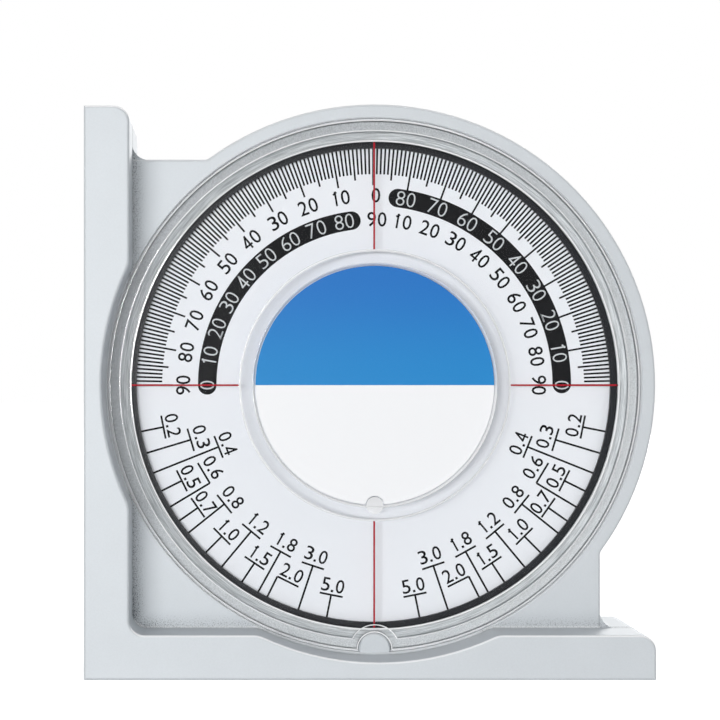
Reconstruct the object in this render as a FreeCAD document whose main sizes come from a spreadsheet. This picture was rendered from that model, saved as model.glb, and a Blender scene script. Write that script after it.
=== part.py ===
import FreeCAD, Part

import math
import os

import Sketcher

# Magnetic-base inclinometer, in millimetres.
#
# An L-shaped frame (leg on the left, base below) carries a drum. A weighted dial hangs on a pin in
# the drum and turns freely behind a clear lens with four index lines.
#
# Every piece is drawn in the front view of the dial: u to the right, v up and w towards the reader,
# all from the dial axis at half the frame's depth. Each body's placement then stands the view
# upright and moves the axis to its place, so that +Z is up, the front faces -Y and the origin is
# under the middle of the whole object.

# The driving dimensions, each written once. Angles are in degrees.
DIMENSIONS = {
    # whole object
    "frame_depth": 27.0,
    "drum_radius": 50.6,
    # L of the frame
    "left_margin": 2.5,
    "bottom_margin": 2.5,
    "leg_width": 8.2,
    "base_height": 8.1,
    "leg_setback": 1.7,
    "base_setback": 2.1,
    "arm_corner": 2.9,
    "inner_corner": 2.7,
    "arm_edge_round": 0.5,
    "arc_gap": 0.3,
    "shoulder_round": 4.0,
    # web plate and its round flange
    "flange_overhang": 1.5,
    "web_thickness": 7.0,
    "web_inset": 10.25,
    "web_foot_fillet": 0.6,
    "web_flange_fillet": 1.6,
    "web_edge_round": 0.5,
    "web_flare_reach": 2.4,
    "web_flare_radius": 3.1,
    "web_flare_setback": 0.25,
    "web_flare_bite": 0.5,
    # drum
    "bore_wall": 1.0,
    "bore_chamfer": 0.15,
    "drum_edge_round": 0.4,
    "drum_wall": 2.2,
    "drum_back_setback": 1.5,
    "lens_seat_depth": 1.8,
    "lens_seat_width": 2.3,
    "bevel_depth": 0.9,
    "ring_bore_inset": 4.0,
    "ring_shelf_width": 0.6,
    "ring_shelf_thickness": 2.5,
    "key_radius": 2.95,
    "key_inset": 0.6,
    "key_edge": 0.3,
    # lens
    "lens_edge_gap": 0.3,
    "lens_seat_gap": 0.02,
    "lens_flange_thickness": 1.6,
    "lens_plate_rise": 0.8,
    "lens_plate_inset": 2.4,
    "lens_plate_thickness": 1.8,
    "lens_skirt_width": 1.4,
    "lens_edge_chamfer": 0.2,
    "key_gap": 0.15,
    "key_arch_width": 1.5,
    "hub_bead_radius": 25.1,
    "hub_bead_width": 2.5,
    "hub_bead_rise": 0.35,
    "hub_bead_slope": 0.35,
    "label_recess_depth": 0.45,
    # label
    "label_gap": 0.15,
    "label_thickness": 0.35,
    "label_key_radius": 1.6,
    # index lines
    "line_width": 0.35,
    "line_depth": 0.2,
    "line_start_gap": 0.1,
    "line_end_gap": 0.2,
    "line_gap": 0.02,
    # seal ring
    "ring_width": 1.2,
    "ring_thickness": 0.8,
    "ring_gap": 0.1,
    # dial
    "dial_edge_gap": 0.35,
    "dial_ring_gap": 0.4,
    "dial_thickness": 1.0,
    # hub
    "spigot_wall": 2.5,
    "hub_flange_width": 3.5,
    "hub_flange_thickness": 1.5,
    "hub_neck_wall": 2.0,
    "hub_neck_length": 3.2,
    "hub_relief": 0.4,
    "hub_edge": 0.3,
    "hub_ring_width": 3.0,
    "hub_ring_thickness": 0.6,
    "fit_gap": 0.02,
    # pivot
    "pin_radius": 1.0,
    "running_gap": 0.04,
    "end_play": 0.1,
    "pin_chamfer": 0.2,
    "pin_tail": 0.4,
    "pin_bite": 0.5,
    "bush_wall": 0.96,
    "bush_length": 2.2,
    "bush_flange_width": 0.7,
    "bush_flange_thickness": 0.4,
    "washer_width": 1.6,
    "washer_thickness": 0.4,
    "clip_width": 1.2,
    "clip_thickness": 0.4,
    "clip_groove_depth": 0.3,
    "clip_mouth_inset": 0.1,
    # counterweight
    "weight_drum_gap": 8.0,
    "weight_hub_gap": 0.6,
    "weight_thickness": 3.0,
    "weight_half_angle": 70.0,
    "weight_corner": 1.5,
    "rivet_circle_radius": 15.0,
    "rivet_spacing_angle": 50.0,
    "rivet_radius": 1.0,
    "rivet_head_radius": 1.9,
    "rivet_head_height": 0.6,
    # rear cover
    "cover_edge_gap": 0.15,
    "cover_thickness": 2.0,
    "cover_plateau_inset": 9.2,
    "cover_plateau_rise": 0.5,
    "cover_edge_chamfer": 0.3,
    "boss_wall": 3.5,
    "boss_foot": 2.5,
    "rib_height": 2.6,
    "rib_width": 1.6,
    "rib_drum_gap": 8.2,
    # cover screws
    "screw_inset": 3.0,
    "screw_first_angle": 45.0,
    "screw_boss_radius": 3.2,
    "screw_boss_length": 6.0,
    "screw_hole_depth": 5.0,
    "screw_radius": 1.1,
    "screw_length": 6.0,
    "screw_head_radius": 2.1,
    "screw_head_height": 1.1,
    "screw_head_gap": 0.05,
    "screw_slot_width": 0.6,
    "screw_slot_depth": 0.5,
    # V-grooves and magnets
    "groove_depth": 2.2,
    "groove_floor_width": 5.6,
    "magnet_length": 24.0,
    "magnet_width": 5.0,
    "magnet_thickness": 2.4,
    "magnet_margin": 1.4,
    "magnet_recess": 0.1,
    "magnet_gap": 0.1,
    "keeper_thickness": 0.7,
}

SCREW_COUNT = 4
LINE_COUNT = 4
RIB_COUNT = 4
RIVET_COUNT = 3
FULL_TURN = 360.0
RIGHT_ANGLE = 90.0
TOUCH = 1e-4
SHEET_NAME = "sizes"


class Size:
    """A size with its value and the text of the expression that binds it to the sheet."""

    def __init__(self, value, text):
        self.value = value
        self.text = text

    def __add__(self, other):
        other = as_size(other)
        return Size(self.value + other.value, f"({self.text} + {other.text})")

    def __sub__(self, other):
        other = as_size(other)
        return Size(self.value - other.value, f"({self.text} - {other.text})")

    def __mul__(self, other):
        other = as_size(other)
        return Size(self.value * other.value, f"({self.text} * {other.text})")

    def __truediv__(self, other):
        other = as_size(other)
        return Size(self.value / other.value, f"({self.text} / {other.text})")

    def __neg__(self):
        return Size(-self.value, f"(0 - {self.text})")


def as_size(number):
    """Return a plain number as a Size."""
    if isinstance(number, Size):
        return number
    return Size(float(number), repr(float(number)))


def root(size):
    """Return the square root of a size."""
    return Size(math.sqrt(size.value), f"sqrt({size.text})")


def sine(angle):
    """Return the sine of an angle in degrees."""
    return Size(math.sin(math.radians(angle.value)), f"sin({angle.text})")


def cosine(angle):
    """Return the cosine of an angle in degrees."""
    return Size(math.cos(math.radians(angle.value)), f"cos({angle.text})")


def chord(radius, offset):
    """Return half the chord of a circle at an offset from its centre."""
    return root(radius * radius - offset * offset)


def fill_sheet(doc):
    """Write the driving dimensions to the document's sheet and return them as sizes."""
    sheet = doc.addObject("Spreadsheet::Sheet", SHEET_NAME)
    sizes = {}
    for row, (name, value) in enumerate(DIMENSIONS.items(), start=1):
        sheet.set(f"A{row}", name.replace("_", " "))
        sheet.set(f"B{row}", repr(value))
        sheet.setAlias(f"B{row}", name)
        sizes[name] = Size(value, f"{SHEET_NAME}.{name}")
    doc.recompute()
    return sizes


DOC = FreeCAD.newDocument("inclinometer")
DIM = fill_sheet(DOC)


def bind(item, prop, size):
    """Bind one property of an object to an expression on the sheet."""
    size = as_size(size)
    item.setExpression(prop, size.text)


# Places that several pieces share

FLANGE_RADIUS = DIM["drum_radius"] + DIM["flange_overhang"]
LENS_BORE = DIM["drum_radius"] - DIM["bore_wall"]
ARC_RADIUS = LENS_BORE + DIM["arc_gap"]
LEFT_FACE = -(DIM["drum_radius"] + DIM["left_margin"])
BOTTOM_FACE = -(DIM["drum_radius"] + DIM["bottom_margin"])
LEG_INNER = LEFT_FACE + DIM["leg_width"]
BASE_TOP = BOTTOM_FACE + DIM["base_height"]
LEG_TOP = FLANGE_RADIUS - DIM["leg_setback"]
BASE_END = FLANGE_RADIUS - DIM["base_setback"]
FRAME_FRONT = DIM["frame_depth"] / 2
WEB_FRONT = DIM["web_thickness"] / 2
WEB_TOP = FLANGE_RADIUS - DIM["web_inset"]
WEB_RIGHT = FLANGE_RADIUS - DIM["web_inset"]
THROUGH = DIM["frame_depth"] * 2
DIAGONAL = root(as_size(2))
FLARE_SPAN = chord(DIM["web_flare_radius"] * DIAGONAL, DIM["web_flare_reach"])
FLARE_CENTRE = (DIM["web_flare_reach"] + FLARE_SPAN) / 2

LENS_SEAT = WEB_FRONT - DIM["lens_seat_depth"]
SEAT_INNER = LENS_BORE - DIM["lens_seat_width"]
BEVEL_FOOT = LENS_SEAT - DIM["bevel_depth"]
RING_BORE = LENS_BORE - DIM["ring_bore_inset"]
KEY_PLACE = LENS_BORE - DIM["key_inset"]
RING_SEAT = BEVEL_FOOT - DIM["ring_thickness"]
CHAMBER_FRONT_RADIUS = RING_BORE - DIM["ring_shelf_width"]
CHAMBER_RADIUS = DIM["drum_radius"] - DIM["drum_wall"]
CHAMBER_STEP = RING_SEAT - DIM["ring_shelf_thickness"]
DRUM_BACK = DIM["drum_back_setback"] - FRAME_FRONT
COVER_SEAT = DRUM_BACK + DIM["cover_thickness"]

LENS_RADIUS = LENS_BORE - DIM["lens_edge_gap"]
LENS_UNDERSIDE = LENS_SEAT + DIM["lens_seat_gap"]
LENS_FLANGE_FRONT = LENS_SEAT + DIM["lens_flange_thickness"]
LENS_FRONT = LENS_FLANGE_FRONT + DIM["lens_plate_rise"]
LENS_BACK = LENS_FRONT - DIM["lens_plate_thickness"]
LENS_PLATE_RADIUS = LENS_BORE - DIM["lens_plate_inset"]
LABEL_SEAT = LENS_FRONT - DIM["label_recess_depth"]
BEAD_INNER = DIM["hub_bead_radius"] - DIM["hub_bead_width"]
RECESS_RADIUS = BEAD_INNER - DIM["hub_bead_slope"]
LABEL_RADIUS = RECESS_RADIUS - DIM["label_gap"]
LABEL_KEY_PLACE = -RECESS_RADIUS
LINE_START = DIM["hub_bead_radius"] + DIM["line_start_gap"]
LINE_END = RING_BORE - DIM["line_end_gap"]

BUSH_BORE = DIM["pin_radius"] + DIM["running_gap"]
BUSH_RADIUS = BUSH_BORE + DIM["bush_wall"]
HUB_BORE = BUSH_RADIUS + DIM["fit_gap"]
SPIGOT_RADIUS = BUSH_RADIUS + DIM["spigot_wall"]
HUB_FLANGE_RADIUS = SPIGOT_RADIUS + DIM["hub_flange_width"]
DIAL_BORE = SPIGOT_RADIUS + DIM["fit_gap"]

DIAL_FRONT = RING_SEAT - DIM["dial_ring_gap"]
DIAL_BACK = DIAL_FRONT - DIM["dial_thickness"]
DIAL_RADIUS = CHAMBER_FRONT_RADIUS - DIM["dial_edge_gap"]
HUB_FRONT = DIAL_FRONT + DIM["hub_ring_thickness"]
HUB_FLANGE_BACK = DIAL_BACK - DIM["hub_flange_thickness"]
HUB_BACK = HUB_FLANGE_BACK - DIM["hub_neck_length"]
FRONT_BUSH_FACE = HUB_FRONT + DIM["bush_flange_thickness"]
REAR_BUSH_FACE = HUB_BACK - DIM["bush_flange_thickness"]
FRONT_WASHER_BACK = FRONT_BUSH_FACE + DIM["end_play"]
CLIP_BACK = FRONT_WASHER_BACK + DIM["washer_thickness"]
CLIP_FRONT = CLIP_BACK + DIM["clip_thickness"]
CLIP_BORE = DIM["pin_radius"] - DIM["clip_groove_depth"] + DIM["fit_gap"]
PIN_FRONT = CLIP_FRONT + DIM["pin_tail"]
PIN_BACK = COVER_SEAT - DIM["pin_bite"]
REAR_WASHER_FRONT = REAR_BUSH_FACE - DIM["end_play"]
BOSS_FRONT = REAR_WASHER_FRONT - DIM["washer_thickness"]
WEIGHT_BACK = DIAL_BACK - DIM["weight_thickness"]
SCREW_HEAD_BACK = DRUM_BACK + DIM["screw_head_gap"]


# Bodies and sketches

def stand_up(item):
    """Turn an object from the front view to the upright frame and move it to the dial axis."""
    item.Placement = FreeCAD.Placement(
        FreeCAD.Vector(0, 0, 0), FreeCAD.Rotation(FreeCAD.Vector(1, 0, 0), RIGHT_ANGLE)
    )
    bind(item, "Placement.Base.x", -(FLANGE_RADIUS + LEFT_FACE) / 2)
    bind(item, "Placement.Base.z", -BOTTOM_FACE)


def new_body(name):
    """Make an empty body in the front view, which may hold several separate solids."""
    body = DOC.addObject("PartDesign::Body", name)
    body.Label = name
    body.AllowCompound = True
    stand_up(body)
    return body


def new_sketch(body, name, plane="XY_Plane", depth=0):
    """Make a sketch on a plane of the body's origin, moved along the plane's normal by depth.

    XY_Plane is the front view, with u to the right and v up, at w = depth. XZ_Plane is a section
    through the dial axis, with the radius to the right and w up. YZ_Plane is a section across the
    base, with v to the right and w up.
    """
    sketch = body.newObject("Sketcher::SketchObject", name)
    support = next(item for item in body.Origin.OriginFeatures if item.Role == plane)
    sketch.AttachmentSupport = (support, [""])
    sketch.MapMode = "FlatFace"
    if depth:
        bind(sketch, "AttachmentOffset.Base.z", depth)
    return sketch


def pin_down(sketch, geometry, vertex, place):
    """Tie one vertex of a sketch to its place, given as two sizes."""
    for kind, size in zip(("DistanceX", "DistanceY"), place):
        size = as_size(size)
        index = sketch.addConstraint(
            Sketcher.Constraint(kind, -1, 1, geometry, vertex, size.value)
        )
        bind(sketch, f"Constraints[{index}]", size)


def vector(place):
    """Return a sketch place as a vector."""
    return FreeCAD.Vector(as_size(place[0]).value, as_size(place[1]).value, 0)


def draw_outline(sketch, places):
    """Draw a closed outline of straight lines through the places."""
    first = sketch.GeometryCount
    count = len(places)
    for index in range(count):
        start = vector(places[index])
        end = vector(places[(index + 1) % count])
        sketch.addGeometry(Part.LineSegment(start, end), False)
    for index in range(count):
        line = first + index
        following = first + (index + 1) % count
        sketch.addConstraint(Sketcher.Constraint("Coincident", line, 2, following, 1))
        pin_down(sketch, line, 1, places[index])


def draw_rectangle(sketch, left, bottom, right, top):
    """Draw a rectangle between two corners."""
    draw_outline(sketch, [(left, bottom), (right, bottom), (right, top), (left, top)])


def draw_circle(sketch, centre, radius):
    """Draw a circle about a place."""
    radius = as_size(radius)
    shape = Part.Circle(vector(centre), FreeCAD.Vector(0, 0, 1), radius.value)
    circle = sketch.addGeometry(shape, False)
    pin_down(sketch, circle, 3, centre)
    index = sketch.addConstraint(Sketcher.Constraint("Radius", circle, radius.value))
    bind(sketch, f"Constraints[{index}]", radius)


def draw_arc(sketch, radius, start, end):
    """Draw an arc about the sketch's origin, counter-clockwise from start to end."""
    start_point = vector(start)
    end_point = vector(end)
    full = Part.Circle(FreeCAD.Vector(0, 0, 0), FreeCAD.Vector(0, 0, 1), radius.value)
    start_angle = math.atan2(start_point.y, start_point.x)
    end_angle = math.atan2(end_point.y, end_point.x)
    if end_angle < start_angle:
        end_angle += math.radians(FULL_TURN)
    arc = sketch.addGeometry(Part.ArcOfCircle(full, start_angle, end_angle), False)
    sketch.addConstraint(Sketcher.Constraint("Coincident", arc, 3, -1, 1))
    index = sketch.addConstraint(Sketcher.Constraint("Radius", arc, radius.value))
    bind(sketch, f"Constraints[{index}]", radius)
    return arc


def pad(body, name, sketch, length, both_ways=False):
    """Pad a sketch along its normal, or by half the length to each side."""
    item = body.newObject("PartDesign::Pad", name)
    item.Profile = sketch
    item.SideType = "Symmetric" if both_ways else "One side"
    bind(item, "Length", length)
    return item


def pocket(body, name, sketch, length, backwards=True, both_ways=False):
    """Cut a sketch into the body, against the sketch's normal unless backwards is false."""
    item = body.newObject("PartDesign::Pocket", name)
    item.Profile = sketch
    item.SideType = "Symmetric" if both_ways else "One side"
    item.Reversed = not backwards
    bind(item, "Length", length)
    return item


def revolve(body, name, sketch, kind="PartDesign::Revolution"):
    """Turn a section sketch fully round the dial axis."""
    item = body.newObject(kind, name)
    item.Profile = sketch
    item.ReferenceAxis = (sketch, ["V_Axis"])
    item.Angle = FULL_TURN
    return item


def section(body, name, places):
    """Revolve an outline of (radius, w) places into a round solid."""
    sketch = new_sketch(body, name + "_section", "XZ_Plane")
    draw_outline(sketch, places)
    return revolve(body, name, sketch)


def pattern(body, name, item, sketch, count):
    """Repeat a feature round the normal of its sketch."""
    turn = body.newObject("PartDesign::PolarPattern", name)
    turn.Originals = [item]
    turn.Axis = (sketch, ["N_Axis"])
    turn.Angle = FULL_TURN
    turn.Occurrences = count
    body.Tip = turn
    return turn


def edge_names(item, wanted):
    """Name the edges of a feature that a test on the edge accepts."""
    DOC.recompute()
    edges = enumerate(item.Shape.Edges, start=1)
    return [f"Edge{number}" for number, edge in edges if wanted(edge)]


def round_edges(body, name, item, wanted, radius):
    """Round the edges of a feature that a test on the edge accepts."""
    names = edge_names(item, wanted)
    if not names:
        raise RuntimeError(f"{name} finds no edge to round")
    fillet = body.newObject("PartDesign::Fillet", name)
    fillet.Base = (item, names)
    bind(fillet, "Radius", radius)
    return fillet


def runs_through(places):
    """Return a test for edges that run front to back through one of the (u, v) places."""
    spots = [vector(place) for place in places]

    def wanted(edge):
        start = edge.Vertexes[0].Point
        end = edge.Vertexes[-1].Point
        if abs(start.x - end.x) > TOUCH or abs(start.y - end.y) > TOUCH:
            return False
        return any(math.hypot(start.x - p.x, start.y - p.y) < TOUCH for p in spots)

    return wanted


def lies_at(depths, keep=lambda edge: True):
    """Return a test for edges that lie in one of the planes w = depth and pass a further test."""
    levels = [as_size(depth).value for depth in depths]

    def wanted(edge):
        box = edge.BoundBox
        flat = any(
            abs(box.ZMin - level) < TOUCH and abs(box.ZMax - level) < TOUCH for level in levels
        )
        return flat and keep(edge)

    return wanted


# Frame

def frame_body():
    """The frame: L with V-grooves and magnet pockets, web with flange, and drum with its key."""
    body = new_body("frame_body")
    l_arms(body)
    web_plate(body)
    web_flares(body)
    drum(body)
    key_boss(body)
    screw_bosses(body)
    arm_grooves(body)
    magnet_pockets(body)
    return body


def l_arms(body):
    """The leg and the base, full depth, cut round the drum and with softened edges."""
    sketch = new_sketch(body, "arms_outline")
    draw_outline(
        sketch,
        [
            (LEFT_FACE, BOTTOM_FACE),
            (BASE_END, BOTTOM_FACE),
            (BASE_END, BASE_TOP),
            (LEG_INNER, BASE_TOP),
            (LEG_INNER, LEG_TOP),
            (LEFT_FACE, LEG_TOP),
        ],
    )
    solid = pad(body, "arms", sketch, DIM["frame_depth"], both_ways=True)
    ends = runs_through([(BASE_END, BASE_TOP), (LEG_INNER, LEG_TOP)])
    solid = round_edges(body, "arm_ends", solid, ends, DIM["arm_corner"])
    corner = runs_through([(LEG_INNER, BASE_TOP)])
    solid = round_edges(body, "arm_corner_fillet", solid, corner, DIM["inner_corner"])

    opening = new_sketch(body, "arc_outline")
    draw_circle(opening, (0, 0), ARC_RADIUS)
    solid = pocket(body, "arc_cut", opening, THROUGH, both_ways=True)
    along_base = chord(ARC_RADIUS, BASE_TOP)
    along_leg = chord(ARC_RADIUS, LEG_INNER)
    shoulders = runs_through(
        [
            (-along_base, BASE_TOP),
            (along_base, BASE_TOP),
            (LEG_INNER, -along_leg),
            (LEG_INNER, along_leg),
        ]
    )
    solid = round_edges(body, "shoulder_rounds", solid, shoulders, DIM["shoulder_round"])
    rims = lies_at([FRAME_FRONT, -FRAME_FRONT])
    return round_edges(body, "arm_edge_rounds", solid, rims, DIM["arm_edge_round"])


def is_web_rim(edge):
    """Tell whether an edge is on the open outline of the web and its flange."""
    middle = edge.valueAt((edge.FirstParameter + edge.LastParameter) / 2)
    clear_of_arms = middle.x > LEG_INNER.value + TOUCH and middle.y > BASE_TOP.value + TOUCH
    outside = (
        middle.y > WEB_TOP.value - TOUCH
        or middle.x > WEB_RIGHT.value - TOUCH
        or math.hypot(middle.x, middle.y) > FLANGE_RADIUS.value - TOUCH
    )
    return clear_of_arms and outside and middle.x + middle.y > 0


def web_plate(body):
    """The plate between the arms, with the round flange that it widens into."""
    sketch = new_sketch(body, "web_outline")
    right_foot = (WEB_RIGHT, -FLANGE_RADIUS)
    left_foot = (-FLANGE_RADIUS, -FLANGE_RADIUS)
    left_head = (-FLANGE_RADIUS, WEB_TOP)
    low = (WEB_RIGHT, -chord(FLANGE_RADIUS, WEB_RIGHT))
    high = (-chord(FLANGE_RADIUS, WEB_TOP), WEB_TOP)
    places = [high, left_head, left_foot, right_foot, low]
    lines = []
    for start, end in zip(places, places[1:]):
        lines.append(sketch.addGeometry(Part.LineSegment(vector(start), vector(end)), False))
    arc = draw_arc(sketch, FLANGE_RADIUS, low, high)
    for line, place in zip(lines, places):
        if line != lines[0]:
            sketch.addConstraint(Sketcher.Constraint("Coincident", line - 1, 2, line, 1))
            pin_down(sketch, line, 1, place)
    sketch.addConstraint(Sketcher.Constraint("Coincident", lines[-1], 2, arc, 1))
    sketch.addConstraint(Sketcher.Constraint("Coincident", arc, 2, lines[0], 1))
    sketch.addConstraint(Sketcher.Constraint("Horizontal", lines[0]))
    sketch.addConstraint(Sketcher.Constraint("Vertical", lines[-1]))
    solid = pad(body, "web", sketch, DIM["web_thickness"], both_ways=True)

    junctions = runs_through([low, high])
    solid = round_edges(body, "flange_fillets", solid, junctions, DIM["web_flange_fillet"])
    rim = lies_at([WEB_FRONT, -WEB_FRONT], is_web_rim)
    solid = round_edges(body, "web_edge_rounds", solid, rim, DIM["web_edge_round"])
    feet = runs_through([(LEG_INNER, WEB_TOP), (WEB_RIGHT, BASE_TOP)])
    return round_edges(body, "web_foot_fillets", solid, feet, DIM["web_foot_fillet"])


def draw_flare(sketch, corner):
    """Draw a gusset with a hollow side in the corner that opens to the right and upwards."""
    u, v = (as_size(number) for number in corner)
    reach = DIM["web_flare_reach"]
    bite = DIM["web_flare_bite"]
    places = [(u + reach, v), (u + reach, v - bite), (u - bite, v - bite), (u - bite, v + reach)]
    places.append((u, v + reach))
    first = sketch.GeometryCount
    for start, end in zip(places, places[1:]):
        sketch.addGeometry(Part.LineSegment(vector(start), vector(end)), False)
    centre = vector((u + FLARE_CENTRE, v + FLARE_CENTRE))
    radius = DIM["web_flare_radius"]
    full = Part.Circle(centre, FreeCAD.Vector(0, 0, 1), radius.value)
    ends = [vector(place) - centre for place in (places[-1], places[0])]
    angles = [math.atan2(end.y, end.x) for end in ends]
    arc = sketch.addGeometry(Part.ArcOfCircle(full, *angles), False)
    for line, place in enumerate(places[:-1], start=first):
        if line > first:
            sketch.addConstraint(Sketcher.Constraint("Coincident", line - 1, 2, line, 1))
        pin_down(sketch, line, 1, place)
    pin_down(sketch, arc - 1, 2, places[-1])
    sketch.addConstraint(Sketcher.Constraint("Coincident", arc - 1, 2, arc, 1))
    sketch.addConstraint(Sketcher.Constraint("Coincident", arc, 2, first, 1))
    index = sketch.addConstraint(Sketcher.Constraint("Radius", arc, radius.value))
    bind(sketch, f"Constraints[{index}]", radius)


def web_flares(body):
    """Hollow flares that widen the open ends of the web where they meet the leg and the base."""
    sketch = new_sketch(body, "flare_outlines")
    for corner in ((LEG_INNER, WEB_TOP), (WEB_RIGHT, BASE_TOP)):
        draw_flare(sketch, corner)
    length = DIM["web_thickness"] - DIM["web_flare_setback"] * 2
    return pad(body, "flares", sketch, length, both_ways=True)


def drum(body):
    """The drum behind the web, and its inside: seats for lens, seal ring and cover, and chamber."""
    solid = section(
        body,
        "drum",
        [
            (CHAMBER_RADIUS, DRUM_BACK),
            (DIM["drum_radius"], DRUM_BACK),
            (DIM["drum_radius"], 0),
            (CHAMBER_RADIUS, 0),
        ],
    )

    def back_rim(edge):
        middle = edge.valueAt((edge.FirstParameter + edge.LastParameter) / 2)
        return abs(math.hypot(middle.x, middle.y) - DIM["drum_radius"].value) < TOUCH

    rim = lies_at([DRUM_BACK], back_rim)
    round_edges(body, "drum_edge_round", solid, rim, DIM["drum_edge_round"])

    inside = new_sketch(body, "inside_section", "XZ_Plane")
    chamfer = DIM["bore_chamfer"]
    draw_outline(
        inside,
        [
            (0, FRAME_FRONT),
            (LENS_BORE + chamfer, FRAME_FRONT),
            (LENS_BORE + chamfer, WEB_FRONT),
            (LENS_BORE, WEB_FRONT - chamfer),
            (LENS_BORE, LENS_SEAT),
            (SEAT_INNER, LENS_SEAT),
            (RING_BORE, BEVEL_FOOT),
            (RING_BORE, RING_SEAT),
            (CHAMBER_FRONT_RADIUS, RING_SEAT),
            (CHAMBER_FRONT_RADIUS, CHAMBER_STEP),
            (CHAMBER_RADIUS, CHAMBER_STEP),
            (CHAMBER_RADIUS, COVER_SEAT),
            (LENS_BORE, COVER_SEAT),
            (LENS_BORE, -FRAME_FRONT),
            (0, -FRAME_FRONT),
        ],
    )
    return revolve(body, "inside", inside, "PartDesign::Groove")


def key_boss(body):
    """The chamfered round boss at the bottom of the lens seat, which keeps the lens upright."""
    sketch = new_sketch(body, "key_section", "XZ_Plane", KEY_PLACE)
    radius = DIM["key_radius"]
    draw_outline(
        sketch,
        [
            (0, LENS_SEAT),
            (radius, LENS_SEAT),
            (radius, LENS_FLANGE_FRONT - DIM["key_edge"]),
            (radius - DIM["key_edge"], LENS_FLANGE_FRONT),
            (0, LENS_FLANGE_FRONT),
        ],
    )
    return revolve(body, "key", sketch)


def screw_place():
    """Return the (u, v) place of the first cover screw."""
    angle = DIM["screw_first_angle"]
    reach = CHAMBER_RADIUS - DIM["screw_inset"]
    return (reach * cosine(angle), reach * sine(angle))


def screw_bosses(body):
    """The bosses in the drum that take the cover screws, and their holes."""
    sketch = new_sketch(body, "screw_boss_outline", depth=COVER_SEAT)
    draw_circle(sketch, screw_place(), DIM["screw_boss_radius"])
    boss = pad(body, "screw_boss", sketch, DIM["screw_boss_length"])
    pattern(body, "screw_boss_pattern", boss, sketch, SCREW_COUNT)
    hole = new_sketch(body, "screw_hole_outline", depth=COVER_SEAT)
    draw_circle(hole, screw_place(), DIM["screw_radius"] + DIM["fit_gap"])
    cut = pocket(body, "screw_hole", hole, DIM["screw_hole_depth"], backwards=False)
    return pattern(body, "screw_hole_pattern", cut, hole, SCREW_COUNT)


def groove_profile(face):
    """Return the V-groove's outline as (distance from the dial axis, w) places."""
    floor = face + DIM["groove_depth"]
    half_floor = DIM["groove_floor_width"] / 2
    half_mouth = half_floor + DIM["groove_depth"] * 2
    outside = face - DIM["groove_depth"]
    return [
        (outside, -half_mouth),
        (floor, -half_floor),
        (floor, half_floor),
        (outside, half_mouth),
    ]


def arm_grooves(body):
    """The V-grooves along the bottom of the base and the left face of the leg."""
    under = new_sketch(body, "base_groove_outline", "YZ_Plane")
    draw_outline(under, groove_profile(BOTTOM_FACE))
    pocket(body, "base_groove", under, FLANGE_RADIUS * 4, both_ways=True)
    beside = new_sketch(body, "leg_groove_outline", "XZ_Plane")
    draw_outline(beside, groove_profile(LEFT_FACE))
    return pocket(body, "leg_groove", beside, FLANGE_RADIUS * 4, both_ways=True)


def magnet_box(face, side, ends_gap, start_depth, thickness):
    """Return the corners (along, across, along, across) of a bar in the groove of an outer face.

    The bar lies just beyond the stretch where the drum leaves too little wall. side is -1 or 1,
    and start_depth is counted from the groove's floor.
    """
    floor = face + DIM["groove_depth"]
    bottom = floor + DIM["magnet_recess"] + DIM["magnet_thickness"] + DIM["keeper_thickness"]
    near = chord(ARC_RADIUS, bottom) + DIM["magnet_margin"] - ends_gap
    far = near + DIM["magnet_length"] + ends_gap * 2
    left, right = (near, far) if side > 0 else (-far, -near)
    return (left, floor + start_depth, right, floor + start_depth + thickness)


def magnet_pockets(body):
    """The pockets in the groove floors for the magnets and the keepers behind them."""
    gap = DIM["magnet_gap"]
    start = -DIM["groove_depth"] / 2
    height = DIM["magnet_recess"] + DIM["magnet_thickness"] + DIM["keeper_thickness"] - start
    width = DIM["magnet_width"] + gap * 2
    under = new_sketch(body, "base_pocket_outline")
    beside = new_sketch(body, "leg_pocket_outline")
    for side in (-1, 1):
        left, low, right, high = magnet_box(BOTTOM_FACE, side, gap, start, height)
        draw_rectangle(under, left, low, right, high)
        low, left, high, right = magnet_box(LEFT_FACE, side, gap, start, height)
        draw_rectangle(beside, left, low, right, high)
    pocket(body, "base_pockets", under, width, both_ways=True)
    return pocket(body, "leg_pockets", beside, width, both_ways=True)


# Magnets

def arm_bars(name, on_base, start_depth, thickness):
    """Two bars in the pockets of the base or of the leg, at a depth above the groove's floor."""
    body = new_body(name)
    sketch = new_sketch(body, name + "_outline")
    face = BOTTOM_FACE if on_base else LEFT_FACE
    for side in (-1, 1):
        along, across, along_end, across_end = magnet_box(face, side, 0, start_depth, thickness)
        if on_base:
            draw_rectangle(sketch, along, across, along_end, across_end)
        else:
            draw_rectangle(sketch, across, along, across_end, along_end)
    pad(body, name + "_pad", sketch, DIM["magnet_width"], both_ways=True)
    return body


def magnets_and_keepers():
    """The bar magnets and the steel strips behind them, in the base and in the leg."""
    strip_depth = DIM["magnet_recess"] + DIM["magnet_thickness"]
    return [
        arm_bars("base_magnets", True, DIM["magnet_recess"], DIM["magnet_thickness"]),
        arm_bars("base_keepers", True, strip_depth, DIM["keeper_thickness"]),
        arm_bars("side_magnets", False, DIM["magnet_recess"], DIM["magnet_thickness"]),
        arm_bars("side_keepers", False, strip_depth, DIM["keeper_thickness"]),
    ]


# Lens and what is on it

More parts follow.
